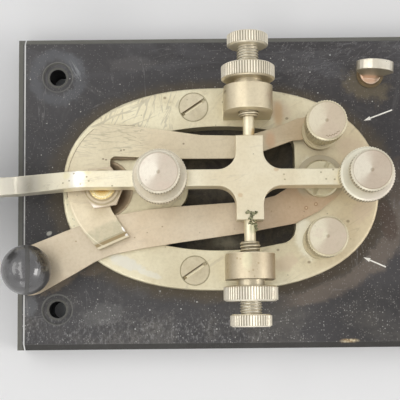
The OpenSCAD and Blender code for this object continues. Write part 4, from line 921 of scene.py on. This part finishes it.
# Threads on the bare shanks between nut and head, and on the inner ends of the pivot screws
for name, at, nut, body in (("spring", SPRING, "spring_locknut", "tension_screw"),
                            ("stop", STOP, "stop_locknut", "gap_screw")):
    thread(name + "_screw_thread", (at.x, at.y, 0), "z", high(nut).z + 0.1,
           high(name + "_screw").z - HEAD_T - 0.1, THREAD_ROOT, THREAD_CREST, THREAD_PITCH,
           mats[name + "_thread"], body)
for side, axis, sign in (("left", "+y", 1), ("right", "-y", -1)):
    screw, nut = "pivot_screw_" + side, "pivot_locknut_" + side
    outer = (high(screw).y, high(nut).y) if sign > 0 else (-low(screw).y, -low(nut).y)
    inner = low(screw).y if sign > 0 else -high(screw).y
    thread(side + "_pivot_thread", (PIVOT.x, 0, PIVOT.z), axis, outer[1] + 0.05, outer[0] - HEAD_T - 0.05,
           THREAD_ROOT, THREAD_CREST, THREAD_PITCH, mats["pivot_thread"], side + "_pivot")
    thread(side + "_pivot_tip_thread", (PIVOT.x, 0, PIVOT.z), axis, inner + 0.05, LUG_IN + 0.1, TIP_ROOT,
           TIP_CREST, TIP_PITCH, mats["tip_thread"], side + "_pivot")


# Sloping shoulder round the frame's hole for the contact stud
lathe("stud_hole_shoulder", (STUD.x, 0, 0),
      [(STUD_HOLE + out, FRAME_TOP - down) for out, down in (
          (-3.1, 1.3), (-1.7, 1.1), (-0.6, 0.4), (0.1, 0.12), (0.3, 0.4), (0.3, 2.0), (-3.1, 2.2))],
      96, mats["shoulder"], "base")


# Parting line of the closer ball, a broad low band across its leaning top
def parting_line():
    rise = 0.05
    verts = []
    n = 60
    lean = radians(13.5)
    across, along = Vector((cos(lean), 0, -sin(lean))), Vector((0, 1, 0))
    up = Vector((sin(lean), 0, cos(lean)))
    start, sweep = radians(-38), radians(256)
    for i in range(n + 1):
        a = start + sweep * i / n
        out = along * cos(a) + up * sin(a)
        for out_by, s in ((-0.12, -0.56), (rise * 0.5, -0.48), (rise, -0.2), (rise, 0.2),
                          (rise * 0.5, 0.48), (-0.12, 0.56)):
            verts.append(BALL + out * (BALL_R + out_by - 0.03) + across * s)
    faces = skin(n, 6) + [(5, 4, 3, 2, 1, 0), tuple(6 * n + k for k in range(6))]
    piece("ball_parting_line", verts, faces, mats["seam"], "closer", True)


parting_line()


# Green crust on the end of one cross arm and on the axle beside it
def crust():
    verts, faces = [], []
    arm_end = low("axle").y + 6.4
    lumps = ((-2.9, 1.7, 3.1, 0.70), (-1.9, 1.3, 3.1, 0.80), (-1.0, 1.5, 3.0, 0.55), (-2.3, 0.3, 3.0, 0.75),
             (-1.3, 0.1, 2.3, 0.85), (-2.0, -0.7, 1.3, 0.75), (-1.1, -1.2, 0.9, 0.80),
             (-0.8, -2.1, 0.5, 0.60), (-1.5, -1.9, 0.8, 0.62))
    rows, cols = 7, 12
    for x, dy, dz, r in lumps:
        base = len(verts)
        c = Vector((x, arm_end + dy, PIVOT.z + dz))
        for i in range(rows):
            for j in range(cols):
                a, b = pi * (i + 0.5) / rows, 2 * pi * j / cols
                d = Vector((sin(a) * cos(b), sin(a) * sin(b), cos(a) * 0.55))
                verts.append(c + d * r * (0.72 + 0.75 * noise.noise((c + d * r) * 2.1)))
        faces += skin(rows - 1, cols, base)
        faces.append(tuple(base + j for j in range(cols)))
        faces.append(tuple(base + (rows - 1) * cols + j for j in reversed(range(cols))))
    piece("arm_crust", verts, faces, mats["crust"], "rocker", False)


crust()


# Engraved arrows, filled with white
def arrow(name, tail, tip, width=0.34, head=1.7, spread=1.05):
    """Thin arrow with a solid head, lying on the base."""
    a, b = Vector((*tail, 0)), Vector((*tip, 0))
    d = (b - a).normalized()
    s = Vector((-d.y, d.x, 0))
    neck = b - d * head
    outline = [a + s * width / 2, neck + s * width / 2, neck - d * 0.15 + s * spread / 2, b,
               neck - d * 0.15 - s * spread / 2, neck - s * width / 2, a - s * width / 2]
    verts = [(v.x, v.y, z) for z in (BASE_TOP - 0.05, BASE_TOP + 0.03) for v in outline]
    n = len(outline)
    faces = [tuple(reversed(range(n))), tuple(range(n, 2 * n))]
    faces += [(i, (i + 1) % n, n + (i + 1) % n, n + i) for i in range(n)]
    piece(name, verts, faces, mats["white"], "base")


arrow("arrow_left", (35.0, 20.3), (27.7, 17.6))
arrow("arrow_right", (32.4, -19.7), (26.8, -17.2))


# Floor, world and lamps
def pale_floor():
    """Pale floor that keeps the shadow and fades into the white background farther away."""
    g = Graph("floor_pale")
    soft = g.noise(6, 3, 0.5)
    color = g.mix(g.band(soft, 0.2, 0.8), (0.84, 0.84, 0.84), (0.87, 0.87, 0.87))
    g.finish(color, 0.9, g.bump(soft, 0.02, 0.0005), 0.0, 0.2)
    glow = g.node("ShaderNodeEmission")
    away = g.band(g.vector("LENGTH", g.place), 0.22, 1.0)
    joined = g.node("ShaderNodeMixShader")
    g.put(g.times(away, g.node("ShaderNodeLightPath").outputs["Is Camera Ray"]), joined.inputs[0])
    g.put(g.shader.outputs[0], joined.inputs[1])
    g.put(glow.outputs[0], joined.inputs[2])
    g.put(joined.outputs[0], g.tree.nodes["Material Output"].inputs["Surface"])
    return g.mat


floor_mesh = bpy.data.meshes.new("floor")
floor_mesh.from_pydata([(-3, -3, 0), (3, -3, 0), (3, 3, 0), (-3, 3, 0)], [], [(0, 1, 2, 3)])
floor_mesh.materials.append(pale_floor())
floor = bpy.data.objects.new("floor", floor_mesh)
bpy.context.scene.collection.objects.link(floor)
floor.location.z = -0.0002

world = bpy.data.worlds.new("studio")
bpy.context.scene.world = world
world.use_nodes = True
wt = world.node_tree
background = wt.nodes["Background"]
path = wt.nodes.new("ShaderNodeLightPath")
seen = path.outputs["Is Camera Ray"]
for output in ("Is Glossy Ray", "Is Transmission Ray"):
    joined = wt.nodes.new("ShaderNodeMath")
    joined.operation = "MAXIMUM"
    wt.links.new(seen, joined.inputs[0])
    wt.links.new(path.outputs[output], joined.inputs[1])
    seen = joined.outputs[0]
level = wt.nodes.new("ShaderNodeMapRange")
wt.links.new(seen, level.inputs["Value"])
level.inputs["To Min"].default_value = 0.5
level.inputs["To Max"].default_value = 1.0
wt.links.new(level.outputs["Result"], background.inputs["Strength"])
background.inputs["Color"].default_value = (0.98, 0.985, 1.0, 1)


def soft_box(name, place, size, watts, tint):
    """Large soft light that looks at the object."""
    data = bpy.data.lights.new(name, "AREA")
    data.shape = "RECTANGLE"
    data.size, data.size_y = size
    data.energy = watts
    data.color = tint
    made = bpy.data.objects.new(name, data)
    made.location = place
    made.rotation_euler = (-Vector(place)).to_track_quat("-Z", "Y").to_euler()
    bpy.context.scene.collection.objects.link(made)


soft_box("left_strip", (-0.23, -0.02, 0.60), (0.90, 0.12), 0.95, (1, 0.985, 0.96))
soft_box("left_box", (-0.46, 0.03, 0.44), (0.50, 0.22), 0.65, (1, 0.99, 0.97))
soft_box("right_box", (0.49, -0.15, 0.32), (0.30, 0.14), 1.0, (1, 0.98, 0.96))
soft_box("front_box", (-0.10, -0.56, 0.20), (0.30, 0.12), 0.4, (1, 0.99, 0.98))
